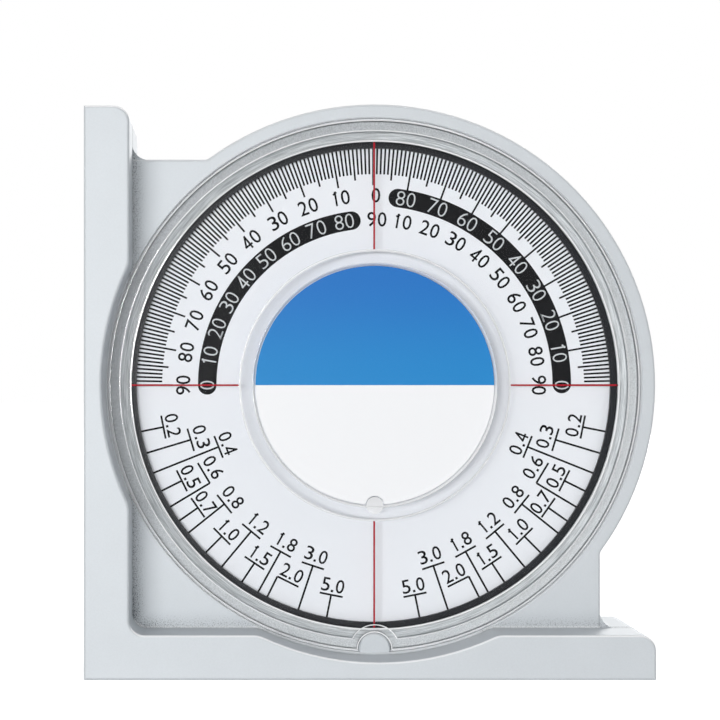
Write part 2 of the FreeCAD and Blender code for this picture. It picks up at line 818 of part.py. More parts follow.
def lens():
    """The clear stepped lens, notched over the key boss, with hub bead and label recess."""
    body = new_body("lens")
    chamfer = DIM["lens_edge_chamfer"]
    slope = DIM["hub_bead_slope"]
    bead_top = LENS_FRONT + DIM["hub_bead_rise"]
    skirt_inner = LENS_PLATE_RADIUS - DIM["lens_skirt_width"]
    section(
        body,
        "lens_turned",
        [
            (0, LENS_BACK),
            (skirt_inner, LENS_BACK),
            (skirt_inner, LENS_UNDERSIDE),
            (LENS_RADIUS, LENS_UNDERSIDE),
            (LENS_RADIUS, LENS_FLANGE_FRONT - chamfer),
            (LENS_RADIUS - chamfer, LENS_FLANGE_FRONT),
            (LENS_PLATE_RADIUS, LENS_FLANGE_FRONT),
            (LENS_PLATE_RADIUS, LENS_FRONT - chamfer),
            (LENS_PLATE_RADIUS - chamfer, LENS_FRONT),
            (DIM["hub_bead_radius"], LENS_FRONT),
            (DIM["hub_bead_radius"] - slope, bead_top),
            (BEAD_INNER, bead_top),
            (RECESS_RADIUS, LABEL_SEAT),
            (0, LABEL_SEAT),
        ],
    )
    key_centre = (0, -KEY_PLACE)
    notch_radius = DIM["key_radius"] + DIM["key_gap"]
    arch = new_sketch(body, "key_arch_outline", depth=LENS_FLANGE_FRONT)
    draw_circle(arch, key_centre, notch_radius + DIM["key_arch_width"])
    pocket(body, "key_arch", arch, DIM["lens_plate_rise"] * 2, backwards=False)
    notch = new_sketch(body, "key_notch_outline")
    draw_circle(notch, key_centre, notch_radius)
    pocket(body, "key_notch", notch, THROUGH, both_ways=True)

    groove = new_sketch(body, "line_groove_outline", depth=LENS_BACK)
    half_width = DIM["line_width"] / 2
    draw_rectangle(groove, -half_width, LINE_START, half_width, LINE_END)
    cut = pocket(body, "line_groove", groove, DIM["line_depth"], backwards=False)
    pattern(body, "line_groove_pattern", cut, groove, LINE_COUNT)

    mark = new_sketch(body, "label_key_outline", depth=LABEL_SEAT)
    draw_circle(mark, (0, LABEL_KEY_PLACE), DIM["label_key_radius"])
    pad(body, "label_key", mark, DIM["label_thickness"])
    return body


def label_disc():
    """The round label in the lens's recess, notched over the lens's small key."""
    body = new_body("label_disc")
    sketch = new_sketch(body, "label_outline", depth=LABEL_SEAT)
    draw_circle(sketch, (0, 0), LABEL_RADIUS)
    pad(body, "label", sketch, DIM["label_thickness"])
    notch = new_sketch(body, "label_notch_outline", depth=LABEL_SEAT)
    draw_circle(notch, (0, LABEL_KEY_PLACE), DIM["label_key_radius"] + DIM["label_gap"])
    pocket(body, "label_notch", notch, DIM["label_thickness"] * 2, both_ways=True)
    return body


def index_lines():
    """The four index lines, inlaid in the grooves in the back of the lens."""
    body = new_body("index_lines")
    sketch = new_sketch(body, "line_outline", depth=LENS_BACK)
    gap = DIM["line_gap"]
    half_width = DIM["line_width"] / 2 - gap
    draw_rectangle(sketch, -half_width, LINE_START + gap, half_width, LINE_END - gap)
    bar = pad(body, "line", sketch, DIM["line_depth"] - gap)
    pattern(body, "line_pattern", bar, sketch, LINE_COUNT)
    return body


def ring_body(name, inner, outer, back, front):
    """A plain ring about the dial axis."""
    body = new_body(name)
    section(body, name + "_turned", [(inner, back), (outer, back), (outer, front), (inner, front)])
    return body


def seal_ring():
    """The black ring between the lens and the dial."""
    outer = RING_BORE - DIM["ring_gap"]
    front = RING_SEAT + DIM["ring_thickness"]
    return ring_body("seal_ring", outer - DIM["ring_width"], outer, RING_SEAT, front)


# Dial and what turns with it

def rivet_angle(index):
    """Return the angle of one rivet from the u axis, about the bottom of the dial."""
    return DIM["rivet_spacing_angle"] * (index - (RIVET_COUNT - 1) / 2) - RIGHT_ANGLE


def rivet_place(index):
    """Return the (u, v) place of one rivet."""
    reach = DIM["rivet_circle_radius"]
    angle = rivet_angle(index)
    return (reach * cosine(angle), reach * sine(angle))


def drill_rivet_holes(body):
    """Drill the rivet holes through a flat piece."""
    sketch = new_sketch(body, "rivet_hole_outline")
    for index in range(RIVET_COUNT):
        draw_circle(sketch, rivet_place(index), DIM["rivet_radius"] + DIM["fit_gap"])
    return pocket(body, "rivet_holes", sketch, THROUGH, both_ways=True)


def dial_disc():
    """The dial, with its hub hole and rivet holes."""
    body = new_body("dial_disc")
    section(
        body,
        "dial",
        [
            (DIAL_BORE, DIAL_BACK),
            (DIAL_RADIUS, DIAL_BACK),
            (DIAL_RADIUS, DIAL_FRONT),
            (DIAL_BORE, DIAL_FRONT),
        ],
    )
    drill_rivet_holes(body)
    return body


def dial_hub():
    """The hub: flange behind the dial, spigot through it, neck and bores for two bushes."""
    body = new_body("dial_hub")
    neck = BUSH_RADIUS + DIM["hub_neck_wall"]
    relief = BUSH_BORE + DIM["hub_relief"]
    edge = DIM["hub_edge"]
    section(
        body,
        "hub",
        [
            (HUB_BORE, HUB_BACK),
            (neck - edge, HUB_BACK),
            (neck, HUB_BACK + edge),
            (neck, HUB_FLANGE_BACK),
            (HUB_FLANGE_RADIUS - edge, HUB_FLANGE_BACK),
            (HUB_FLANGE_RADIUS, HUB_FLANGE_BACK + edge),
            (HUB_FLANGE_RADIUS, DIAL_BACK),
            (SPIGOT_RADIUS, DIAL_BACK),
            (SPIGOT_RADIUS, HUB_FRONT),
            (HUB_BORE, HUB_FRONT),
            (HUB_BORE, HUB_FRONT - DIM["bush_length"]),
            (relief, HUB_FRONT - DIM["bush_length"]),
            (relief, HUB_BACK + DIM["bush_length"]),
            (HUB_BORE, HUB_BACK + DIM["bush_length"]),
        ],
    )
    return body


def hub_ring():
    """The ring that clamps the dial against the hub's flange."""
    outer = SPIGOT_RADIUS + DIM["hub_ring_width"]
    return ring_body("hub_ring", DIAL_BORE, outer, DIAL_FRONT, HUB_FRONT)


def bush(name, face, inward):
    """A flanged bush whose flange lies against the end of the hub at face."""
    body = new_body(name)
    outer = face - DIM["bush_flange_thickness"] * inward
    inner = face + DIM["bush_length"] * inward
    flange = BUSH_RADIUS + DIM["bush_flange_width"]
    section(
        body,
        name + "_turned",
        [
            (BUSH_BORE, outer),
            (flange, outer),
            (flange, face),
            (BUSH_RADIUS, face),
            (BUSH_RADIUS, inner),
            (BUSH_BORE, inner),
        ],
    )
    return body


def bushes():
    """The bushes at the front and the rear end of the hub."""
    return [bush("front_bush", HUB_FRONT, -1), bush("rear_bush", HUB_BACK, 1)]


def counterweight():
    """The sector-shaped weight behind the lower half of the dial."""
    body = new_body("counterweight")
    inner = HUB_FLANGE_RADIUS + DIM["weight_hub_gap"]
    outer = CHAMBER_RADIUS - DIM["weight_drum_gap"]
    section(
        body,
        "weight_turned",
        [(inner, WEIGHT_BACK), (outer, WEIGHT_BACK), (outer, DIAL_BACK), (inner, DIAL_BACK)],
    )
    reach = outer * 2
    angle = DIM["weight_half_angle"]
    side = reach * sine(angle)
    drop = -(reach * cosine(angle))
    upper = new_sketch(body, "weight_opening")
    draw_outline(
        upper,
        [(0, 0), (side, drop), (reach, reach), (-reach, reach), (-side, drop)],
    )
    cut = pocket(body, "weight_opening_cut", upper, THROUGH, both_ways=True)

    def corner(edge):
        start = edge.Vertexes[0].Point
        end = edge.Vertexes[-1].Point
        upright = math.hypot(start.x - end.x, start.y - end.y) < TOUCH
        return upright and math.hypot(start.x, start.y) > outer.value / 2

    round_edges(body, "weight_corners", cut, corner, DIM["weight_corner"])
    drill_rivet_holes(body)
    return body


def weight_rivets():
    """The rivets through the dial and the weight, with a head at each end."""
    body = new_body("weight_rivets")
    shank = new_sketch(body, "shank_outline", depth=WEIGHT_BACK)
    front = new_sketch(body, "front_head_outline", depth=DIAL_FRONT)
    back = new_sketch(body, "back_head_outline", depth=WEIGHT_BACK - DIM["rivet_head_height"])
    for index in range(RIVET_COUNT):
        draw_circle(shank, rivet_place(index), DIM["rivet_radius"])
        draw_circle(front, rivet_place(index), DIM["rivet_head_radius"])
        draw_circle(back, rivet_place(index), DIM["rivet_head_radius"])
    pad(body, "shanks", shank, DIM["weight_thickness"] + DIM["dial_thickness"])
    pad(body, "front_heads", front, DIM["rivet_head_height"])
    pad(body, "back_heads", back, DIM["rivet_head_height"])
    return body


# Pivot

def pivot_pin():
    """The fixed pin, with chamfered ends and a groove for the clip."""
    body = new_body("pivot_pin")
    radius = DIM["pin_radius"]
    chamfer = DIM["pin_chamfer"]
    groove = radius - DIM["clip_groove_depth"]
    gap = DIM["fit_gap"]
    section(
        body,
        "pin",
        [
            (0, PIN_BACK),
            (radius - chamfer, PIN_BACK),
            (radius, PIN_BACK + chamfer),
            (radius, CLIP_BACK - gap),
            (groove, CLIP_BACK - gap),
            (groove, CLIP_FRONT + gap),
            (radius, CLIP_FRONT + gap),
            (radius, PIN_FRONT - chamfer),
            (radius - chamfer, PIN_FRONT),
            (0, PIN_FRONT),
        ],
    )
    return body


def pin_clip():
    """The open clip in the pin's groove."""
    body = new_body("pin_clip")
    outer = DIM["pin_radius"] + DIM["clip_width"]
    section(
        body,
        "clip",
        [(CLIP_BORE, CLIP_BACK), (outer, CLIP_BACK), (outer, CLIP_FRONT), (CLIP_BORE, CLIP_FRONT)],
    )
    mouth = new_sketch(body, "clip_mouth_outline")
    half = CLIP_BORE - DIM["clip_mouth_inset"]
    draw_rectangle(mouth, -half, -outer * 2, half, 0)
    pocket(body, "clip_mouth", mouth, THROUGH, both_ways=True)
    return body


def washers():
    """The thrust washers in front of the front bush and behind the rear bush."""
    inner = DIM["pin_radius"] + DIM["fit_gap"]
    outer = DIM["pin_radius"] + DIM["washer_width"]
    return [
        ring_body("front_washer", inner, outer, FRONT_WASHER_BACK, CLIP_BACK),
        ring_body("rear_washer", inner, outer, BOSS_FRONT, REAR_WASHER_FRONT),
    ]


# Rear cover

def rear_cover():
    """The cover: plate with a raised plateau, ribbed inside, and the boss that holds the pin."""
    body = new_body("rear_cover")
    radius = LENS_BORE - DIM["cover_edge_gap"]
    chamfer = DIM["cover_edge_chamfer"]
    plateau = DRUM_BACK - DIM["cover_plateau_rise"]
    flat = radius - DIM["cover_plateau_inset"]
    hole = DIM["pin_radius"] + DIM["fit_gap"]
    boss = DIM["pin_radius"] + DIM["boss_wall"]
    section(
        body,
        "cover",
        [
            (0, plateau),
            (flat, plateau),
            (flat + DIM["cover_plateau_rise"], DRUM_BACK),
            (radius - chamfer, DRUM_BACK),
            (radius, DRUM_BACK + chamfer),
            (radius, COVER_SEAT),
            (boss + DIM["boss_foot"], COVER_SEAT),
            (boss, COVER_SEAT + DIM["boss_foot"]),
            (boss, BOSS_FRONT),
            (hole, BOSS_FRONT),
            (hole, PIN_BACK),
            (0, PIN_BACK),
        ],
    )
    sketch = new_sketch(body, "rib_outline", depth=COVER_SEAT)
    half = DIM["rib_width"] / 2
    draw_rectangle(sketch, -half, boss - half, half, CHAMBER_RADIUS - DIM["rib_drum_gap"])
    rib = pad(body, "rib", sketch, DIM["rib_height"])
    pattern(body, "rib_pattern", rib, sketch, RIB_COUNT)

    u, v = screw_place()
    shank = DIM["screw_radius"] + DIM["fit_gap"]
    head = DIM["screw_head_radius"] + DIM["screw_head_gap"]
    through = new_sketch(body, "screw_hole_outline")
    draw_circle(through, (u, v), shank)
    cut = pocket(body, "screw_hole", through, THROUGH, both_ways=True)
    pattern(body, "screw_hole_pattern", cut, through, SCREW_COUNT)
    sink = new_sketch(body, "screw_sink_outline", depth=DRUM_BACK)
    draw_circle(sink, (u, v), head)
    depth = DIM["screw_head_height"] + DIM["screw_head_gap"]
    cut = pocket(body, "screw_sink", sink, depth, backwards=False)
    pattern(body, "screw_sink_pattern", cut, sink, SCREW_COUNT)
    return body


def cover_screws():
    """The four cover screws, with flat slotted heads sunk in the cover."""
    body = new_body("cover_screws")
    head = new_sketch(body, "head_outline", depth=SCREW_HEAD_BACK)
    draw_circle(head, screw_place(), DIM["screw_head_radius"])
    solid = pad(body, "head", head, DIM["screw_head_height"])
    shank = new_sketch(body, "shank_outline", depth=SCREW_HEAD_BACK)
    draw_circle(shank, screw_place(), DIM["screw_radius"])
    thread = pad(body, "shank", shank, DIM["screw_length"])
    slot = new_sketch(body, "slot_outline", depth=SCREW_HEAD_BACK)
    u, v = screw_place()
    reach = DIM["screw_head_radius"] * 2
    half = DIM["screw_slot_width"] / 2
    draw_rectangle(slot, u - reach, v - half, u + reach, v + half)
    cut = pocket(body, "slot", slot, DIM["screw_slot_depth"], backwards=False)
    turn = pattern(body, "screw_pattern", solid, head, SCREW_COUNT)
    turn.Originals = [solid, thread, cut]
    return body


# Build and export

def build():
    """Build every piece and return the objects in assembly order."""
    pieces = [frame_body()]
    pieces += magnets_and_keepers()
    pieces += [rear_cover(), cover_screws(), pivot_pin()]
    pieces += washers()
    pieces += [pin_clip(), dial_hub()]
    pieces += bushes()
    pieces += [dial_disc(), hub_ring(), counterweight(), weight_rivets()]
    pieces += [seal_ring(), lens(), index_lines(), label_disc()]
    DOC.recompute()
    return pieces


def check(pieces):
    """Stop if any object failed or any piece has no valid solid."""
    faults = []
    for item in DOC.Objects:
        if "Invalid" in item.State or "Error" in item.State:
            faults.append(f"{item.Name}: {item.State}")
    for piece in pieces:
        if piece.Shape.isNull() or not piece.Shape.isValid() or not piece.Shape.Solids:
            faults.append(f"{piece.Label}: no valid solid")
    if faults:
        raise RuntimeError("; ".join(faults))


def export(pieces):
    """Write one STEP file for each piece."""
    os.makedirs("parts", exist_ok=True)
    for piece in pieces:
        piece.Shape.exportStep(os.path.join("parts", piece.Label + ".step"))
        box = piece.Shape.BoundBox
        print(
            f"{piece.Label}: {len(piece.Shape.Solids)} solids, {piece.Shape.Volume:.1f} mm3, "
            f"{box.XLength:.2f} x {box.YLength:.2f} x {box.ZLength:.2f} mm"
        )


PIECES = build()
check(PIECES)
export(PIECES)
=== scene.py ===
"""Looks of a magnetic-base inclinometer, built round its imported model.

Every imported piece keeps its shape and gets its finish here. The new pieces are the dial's printing:
ticks, numbers, number bands and slope marks, which lie on the dial as thin raised ink. Lengths are
in metres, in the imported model's frame: +X to the right, +Z up, and the dial faces -Y.
"""

import logging
import math
from dataclasses import dataclass, field
from enum import Enum

import bmesh
import bpy
from mathutils import Matrix, Vector


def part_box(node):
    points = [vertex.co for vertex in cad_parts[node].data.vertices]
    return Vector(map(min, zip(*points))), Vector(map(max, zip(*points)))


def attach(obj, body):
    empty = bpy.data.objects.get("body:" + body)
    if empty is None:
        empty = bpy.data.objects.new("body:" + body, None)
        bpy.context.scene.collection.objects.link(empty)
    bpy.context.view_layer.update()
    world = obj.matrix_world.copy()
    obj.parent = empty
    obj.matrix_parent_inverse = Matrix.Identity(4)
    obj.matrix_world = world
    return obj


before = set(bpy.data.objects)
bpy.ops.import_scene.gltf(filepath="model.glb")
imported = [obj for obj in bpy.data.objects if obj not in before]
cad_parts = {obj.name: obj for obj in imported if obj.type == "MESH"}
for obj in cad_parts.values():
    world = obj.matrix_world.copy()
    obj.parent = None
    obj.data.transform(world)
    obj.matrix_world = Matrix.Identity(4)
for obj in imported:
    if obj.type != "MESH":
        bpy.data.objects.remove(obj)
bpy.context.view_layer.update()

MM = 0.001
# The locating boss stands this far below the dial's centre.
KEY_PLACE = 49 * MM
LOG = logging.getLogger("inclinometer")

Colour = tuple[float, float, float, float]
Spot = tuple[float, float, float]


def screen(red: float, green: float, blue: float) -> Colour:
    """Turn a colour as a screen shows it into the renderer's own.

    Args:
        red: Red, from 0 to 255.
        green: Green, from 0 to 255.
        blue: Blue, from 0 to 255.

    Returns:
        The linear colour, with full opacity.
    """
    parts = []
    for part in (red, green, blue):
        share = part / 255
        parts.append(share / 12.92 if share <= 0.04045 else ((share + 0.055) / 1.055) ** 2.4)
    return (parts[0], parts[1], parts[2], 1.0)


class Wire:
    """A number that varies over a surface, which takes part in sums like any other number."""

    def __init__(self, bench: "Bench", socket: bpy.types.NodeSocket) -> None:
        """Keep the socket and the bench whose nodes work the sums out.

        Args:
            bench: The material that is being made.
            socket: The output that gives the number.
        """
        self.bench = bench
        self.socket = socket

    def __add__(self, other: "Wire | float") -> "Wire":
        """Return the sum."""
        return self.bench.sum("ADD", self, other)

    def __radd__(self, other: float) -> "Wire":
        """Return the sum, with the plain number first."""
        return self.bench.sum("ADD", other, self)

    def __sub__(self, other: "Wire | float") -> "Wire":
        """Return the difference."""
        return self.bench.sum("SUBTRACT", self, other)

    def __rsub__(self, other: float) -> "Wire":
        """Return the plain number less this one."""
        return self.bench.sum("SUBTRACT", other, self)

    def __mul__(self, other: "Wire | float") -> "Wire":
        """Return the product."""
        return self.bench.sum("MULTIPLY", self, other)

    def __rmul__(self, other: float) -> "Wire":
        """Return the product, with the plain number first."""
        return self.bench.sum("MULTIPLY", other, self)

    def __truediv__(self, other: "Wire | float") -> "Wire":
        """Return the quotient."""
        return self.bench.sum("DIVIDE", self, other)

    def __rtruediv__(self, other: float) -> "Wire":
        """Return the plain number over this one."""
        return self.bench.sum("DIVIDE", other, self)

    def __abs__(self) -> "Wire":
        """Return the size of the number without its sign."""
        return self.bench.sum("ABSOLUTE", self)

    def rise(self, low: float, high: float) -> "Wire":
        """Return 0 below low, 1 above high and a smooth rise between them.

        Args:
            low: Where the rise starts.
            high: Where it ends.

        Returns:
            The eased share.
        """
        made = self.bench.node(
            "ShaderNodeMapRange",
            {"interpolation_type": "SMOOTHSTEP"},
            {"Value": self, "From Min": low, "From Max": high},
        )
        return Wire(self.bench, made.outputs[0])

    def within(self, low: float, high: float, soft: float) -> "Wire":
        """Return 1 between two limits and 0 outside, with soft edges.

        Args:
            low: The lower limit.
            high: The upper limit.
            soft: The width of each edge.

        Returns:
            The mask.
        """
        return self.rise(low - soft, low + soft) * (1 - self.rise(high - soft, high + soft))


Number = Wire | float


class Bench:
    """The node tree of a material or a world while it is put together."""

    def __init__(self, owner: bpy.types.Material | bpy.types.World) -> None:
        """Start with an empty tree.

        Args:
            owner: The material or the world that the tree belongs to.
        """
        self.owner = owner
        owner.use_nodes = True
        self.tree = owner.node_tree
        self.tree.nodes.clear()

    def node(
        self,
        kind: str,
        settings: dict[str, object] | None = None,
        inputs: dict[str | int, object] | None = None,
    ) -> bpy.types.Node:
        """Add a node, choose its settings and then fill or link its sockets.

        Args:
            kind: The node's type.
            settings: Property names and values.
            inputs: Socket names or numbers, with a value, a socket or a Wire for each.

        Returns:
            The node.
        """
        made = self.tree.nodes.new(kind)
        for name, value in (settings or {}).items():
            setattr(made, name, value)
        for key, value in (inputs or {}).items():
            source = value.socket if isinstance(value, Wire) else value
            if isinstance(source, bpy.types.NodeSocket):
                self.tree.links.new(source, made.inputs[key])
            else:
                made.inputs[key].default_value = source
        return made

    def sum(self, operation: str, *values: Number) -> Wire:
        """Return the result of a Math node.

        Args:
            operation: The node's operation.
            values: What it works on.

        Returns:
            The result.
        """
        made = self.node("ShaderNodeMath", {"operation": operation}, dict(enumerate(values)))
        return Wire(self, made.outputs[0])

    def place(self, centre: Spot | None = None) -> bpy.types.NodeSocket:
        """Return the place on the object, counted from a centre.

        Args:
            centre: The point that becomes zero, or none for the frame's origin.

        Returns:
            The vector socket.
        """
        spot = self.node("ShaderNodeTexCoord").outputs["Object"]
        if centre is None:
            return spot
        made = self.node("ShaderNodeVectorMath", {"operation": "SUBTRACT"}, {0: spot, 1: centre})
        return made.outputs[0]

    def parts(self, vector: bpy.types.NodeSocket) -> tuple[Wire, Wire, Wire]:
        """Return the three numbers of a vector."""
        made = self.node("ShaderNodeSeparateXYZ", inputs={0: vector})
        return tuple(Wire(self, socket) for socket in made.outputs)

    def polar(self, centre: Spot) -> tuple[Wire, Wire, Wire]:
        """Return the radius, the turn and the depth of a place about a line along Y.

        Args:
            centre: A point on the line.

        Returns:
            The radius, the angle in radians and the depth behind the point.
        """
        across, depth, up = self.parts(self.place(centre))
        radius = self.sum("SQRT", across * across + up * up)
        return radius, self.sum("ARCTAN2", across, up), depth

    def lines_round(
        self,
        around: tuple[Wire, Wire, Wire],
        pitch: float,
        breaks: float,
        depth_pitch: float,
        detail: float = 2.0,
        roughness: float = 0.6,
    ) -> Wire:
        """Return fine lines round an axis, as a lathe or a mould leaves them.

        Args:
            around: The radius, the turn and the depth behind a point of the axis.
            pitch: The distance from line to line across the radius.
            breaks: How often a line changes in each radian.
            depth_pitch: The distance from line to line along the axis.
            detail: How many finer layers they have.
            roughness: How strong the finer layers are.

        Returns:
            The lines' strength, from 0 to 1.
        """
        radius, turn, depth = around
        spot = self.node(
            "ShaderNodeCombineXYZ", inputs={0: radius / pitch, 1: turn * breaks, 2: depth / depth_pitch}
        )
        return self.noise(1.0, detail, roughness, spot.outputs[0])

    def noise(
        self,
        size: float,
        detail: float = 2.0,
        roughness: float = 0.5,
        vector: bpy.types.NodeSocket | None = None,
    ) -> Wire:
        """Return smooth noise around one half.

        Args:
            size: The size of its largest spots.
            detail: How many finer layers it has.
            roughness: How strong the finer layers are.
            vector: Where it is read, or the place on the object.

        Returns:
            The noise, from 0 to 1.
        """
        made = self.node(
            "ShaderNodeTexNoise",
            {"noise_dimensions": "3D"},
            {
                "Vector": vector or self.place(),
                "Scale": 1 / size,
                "Detail": detail,
                "Roughness": roughness,
            },
        )
        return Wire(self, made.outputs[0])

    def blend(
        self,
        share: Number,
        first: Colour | bpy.types.NodeSocket,
        second: Colour | bpy.types.NodeSocket,
    ) -> bpy.types.NodeSocket:
        """Mix two colours.

        Args:
            share: How much of the second colour there is.
            first: The colour at a share of 0.
            second: The colour at a share of 1.

        Returns:
            The mixed colour.
        """
        made = self.node("ShaderNodeMix", {"data_type": "RGBA"}, {0: share, 6: first, 7: second})
        return made.outputs[2]

    def tint(self, colour: Colour, spread: float, noise: Wire) -> bpy.types.NodeSocket:
        """Vary a colour's brightness by noise.

        Args:
            colour: The middle colour.
            spread: The share by which it goes down and up.
            noise: What it varies by, from 0 to 1.

        Returns:
            The varied colour.
        """
        dark = tuple(part * (1 - spread) for part in colour[:3]) + (1.0,)
        light = tuple(min(part * (1 + spread), 1.0) for part in colour[:3]) + (1.0,)
        return self.blend(noise, dark, light)

    def bump(self, height: Wire, depth: float) -> bpy.types.NodeSocket:
        """Return a normal that follows a height.

        Args:
            height: The height, from 0 to 1.
            depth: What a height of 1 stands for, in metres.

        Returns:
            The normal.
        """
        made = self.node("ShaderNodeBump", inputs={"Height": height, "Distance": depth})
        return made.outputs[0]

    def coat(self, **inputs: object) -> bpy.types.Node:
        """Return a Principled shader.

        Args:
            inputs: Its sockets, with underscores for spaces and small letters.

        Returns:
            The shader node.
        """
        sockets = {}
        for name, value in inputs.items():
            words = name.replace("_", " ").title()
            sockets[{"Specular": "Specular IOR Level"}.get(words, words)] = value
        return self.node("ShaderNodeBsdfPrincipled", inputs=sockets)

    def done(self, shader: bpy.types.Node) -> bpy.types.Material:
        """Link a shader to the output.

        Args:
            shader: The node whose first output is the surface.

        Returns:
            The finished material.
        """
        self.node("ShaderNodeOutputMaterial", inputs={"Surface": shader.outputs[0]})
        return self.owner


def finished_mesh(shapes: bmesh.types.BMesh, name: str) -> bpy.types.Mesh:
    """Turn drawn shapes into a mesh and let go of them.

    Args:
        shapes: The shapes.
        name: The mesh's name.

    Returns:
        The mesh.
    """
    mesh = bpy.data.meshes.new(name)
    shapes.to_mesh(mesh)
    shapes.free()
    return mesh


def put(name: str, data: bpy.types.ID) -> bpy.types.Object:
    """Put a mesh, a lamp or a camera into the scene.

    Args:
        name: The object's name.
        data: What the object holds.

    Returns:
        The object.
    """
    made = bpy.data.objects.new(name, data)
    bpy.context.scene.collection.objects.link(made)
    return made


@dataclass(frozen=True)
class Finish:
    """A finish, which makes its material from the surface that each kind of finish describes."""

    name: str

    def surface(self, bench: Bench) -> bpy.types.Node:
        """Return the shader of the surface.

        Args:
            bench: The material's bench.

        Returns:
            The shader node.
        """
        raise NotImplementedError

    def material(self) -> bpy.types.Material:
        """Make the material."""
        bench = Bench(bpy.data.materials.new(self.name))
        return bench.done(self.surface(bench))


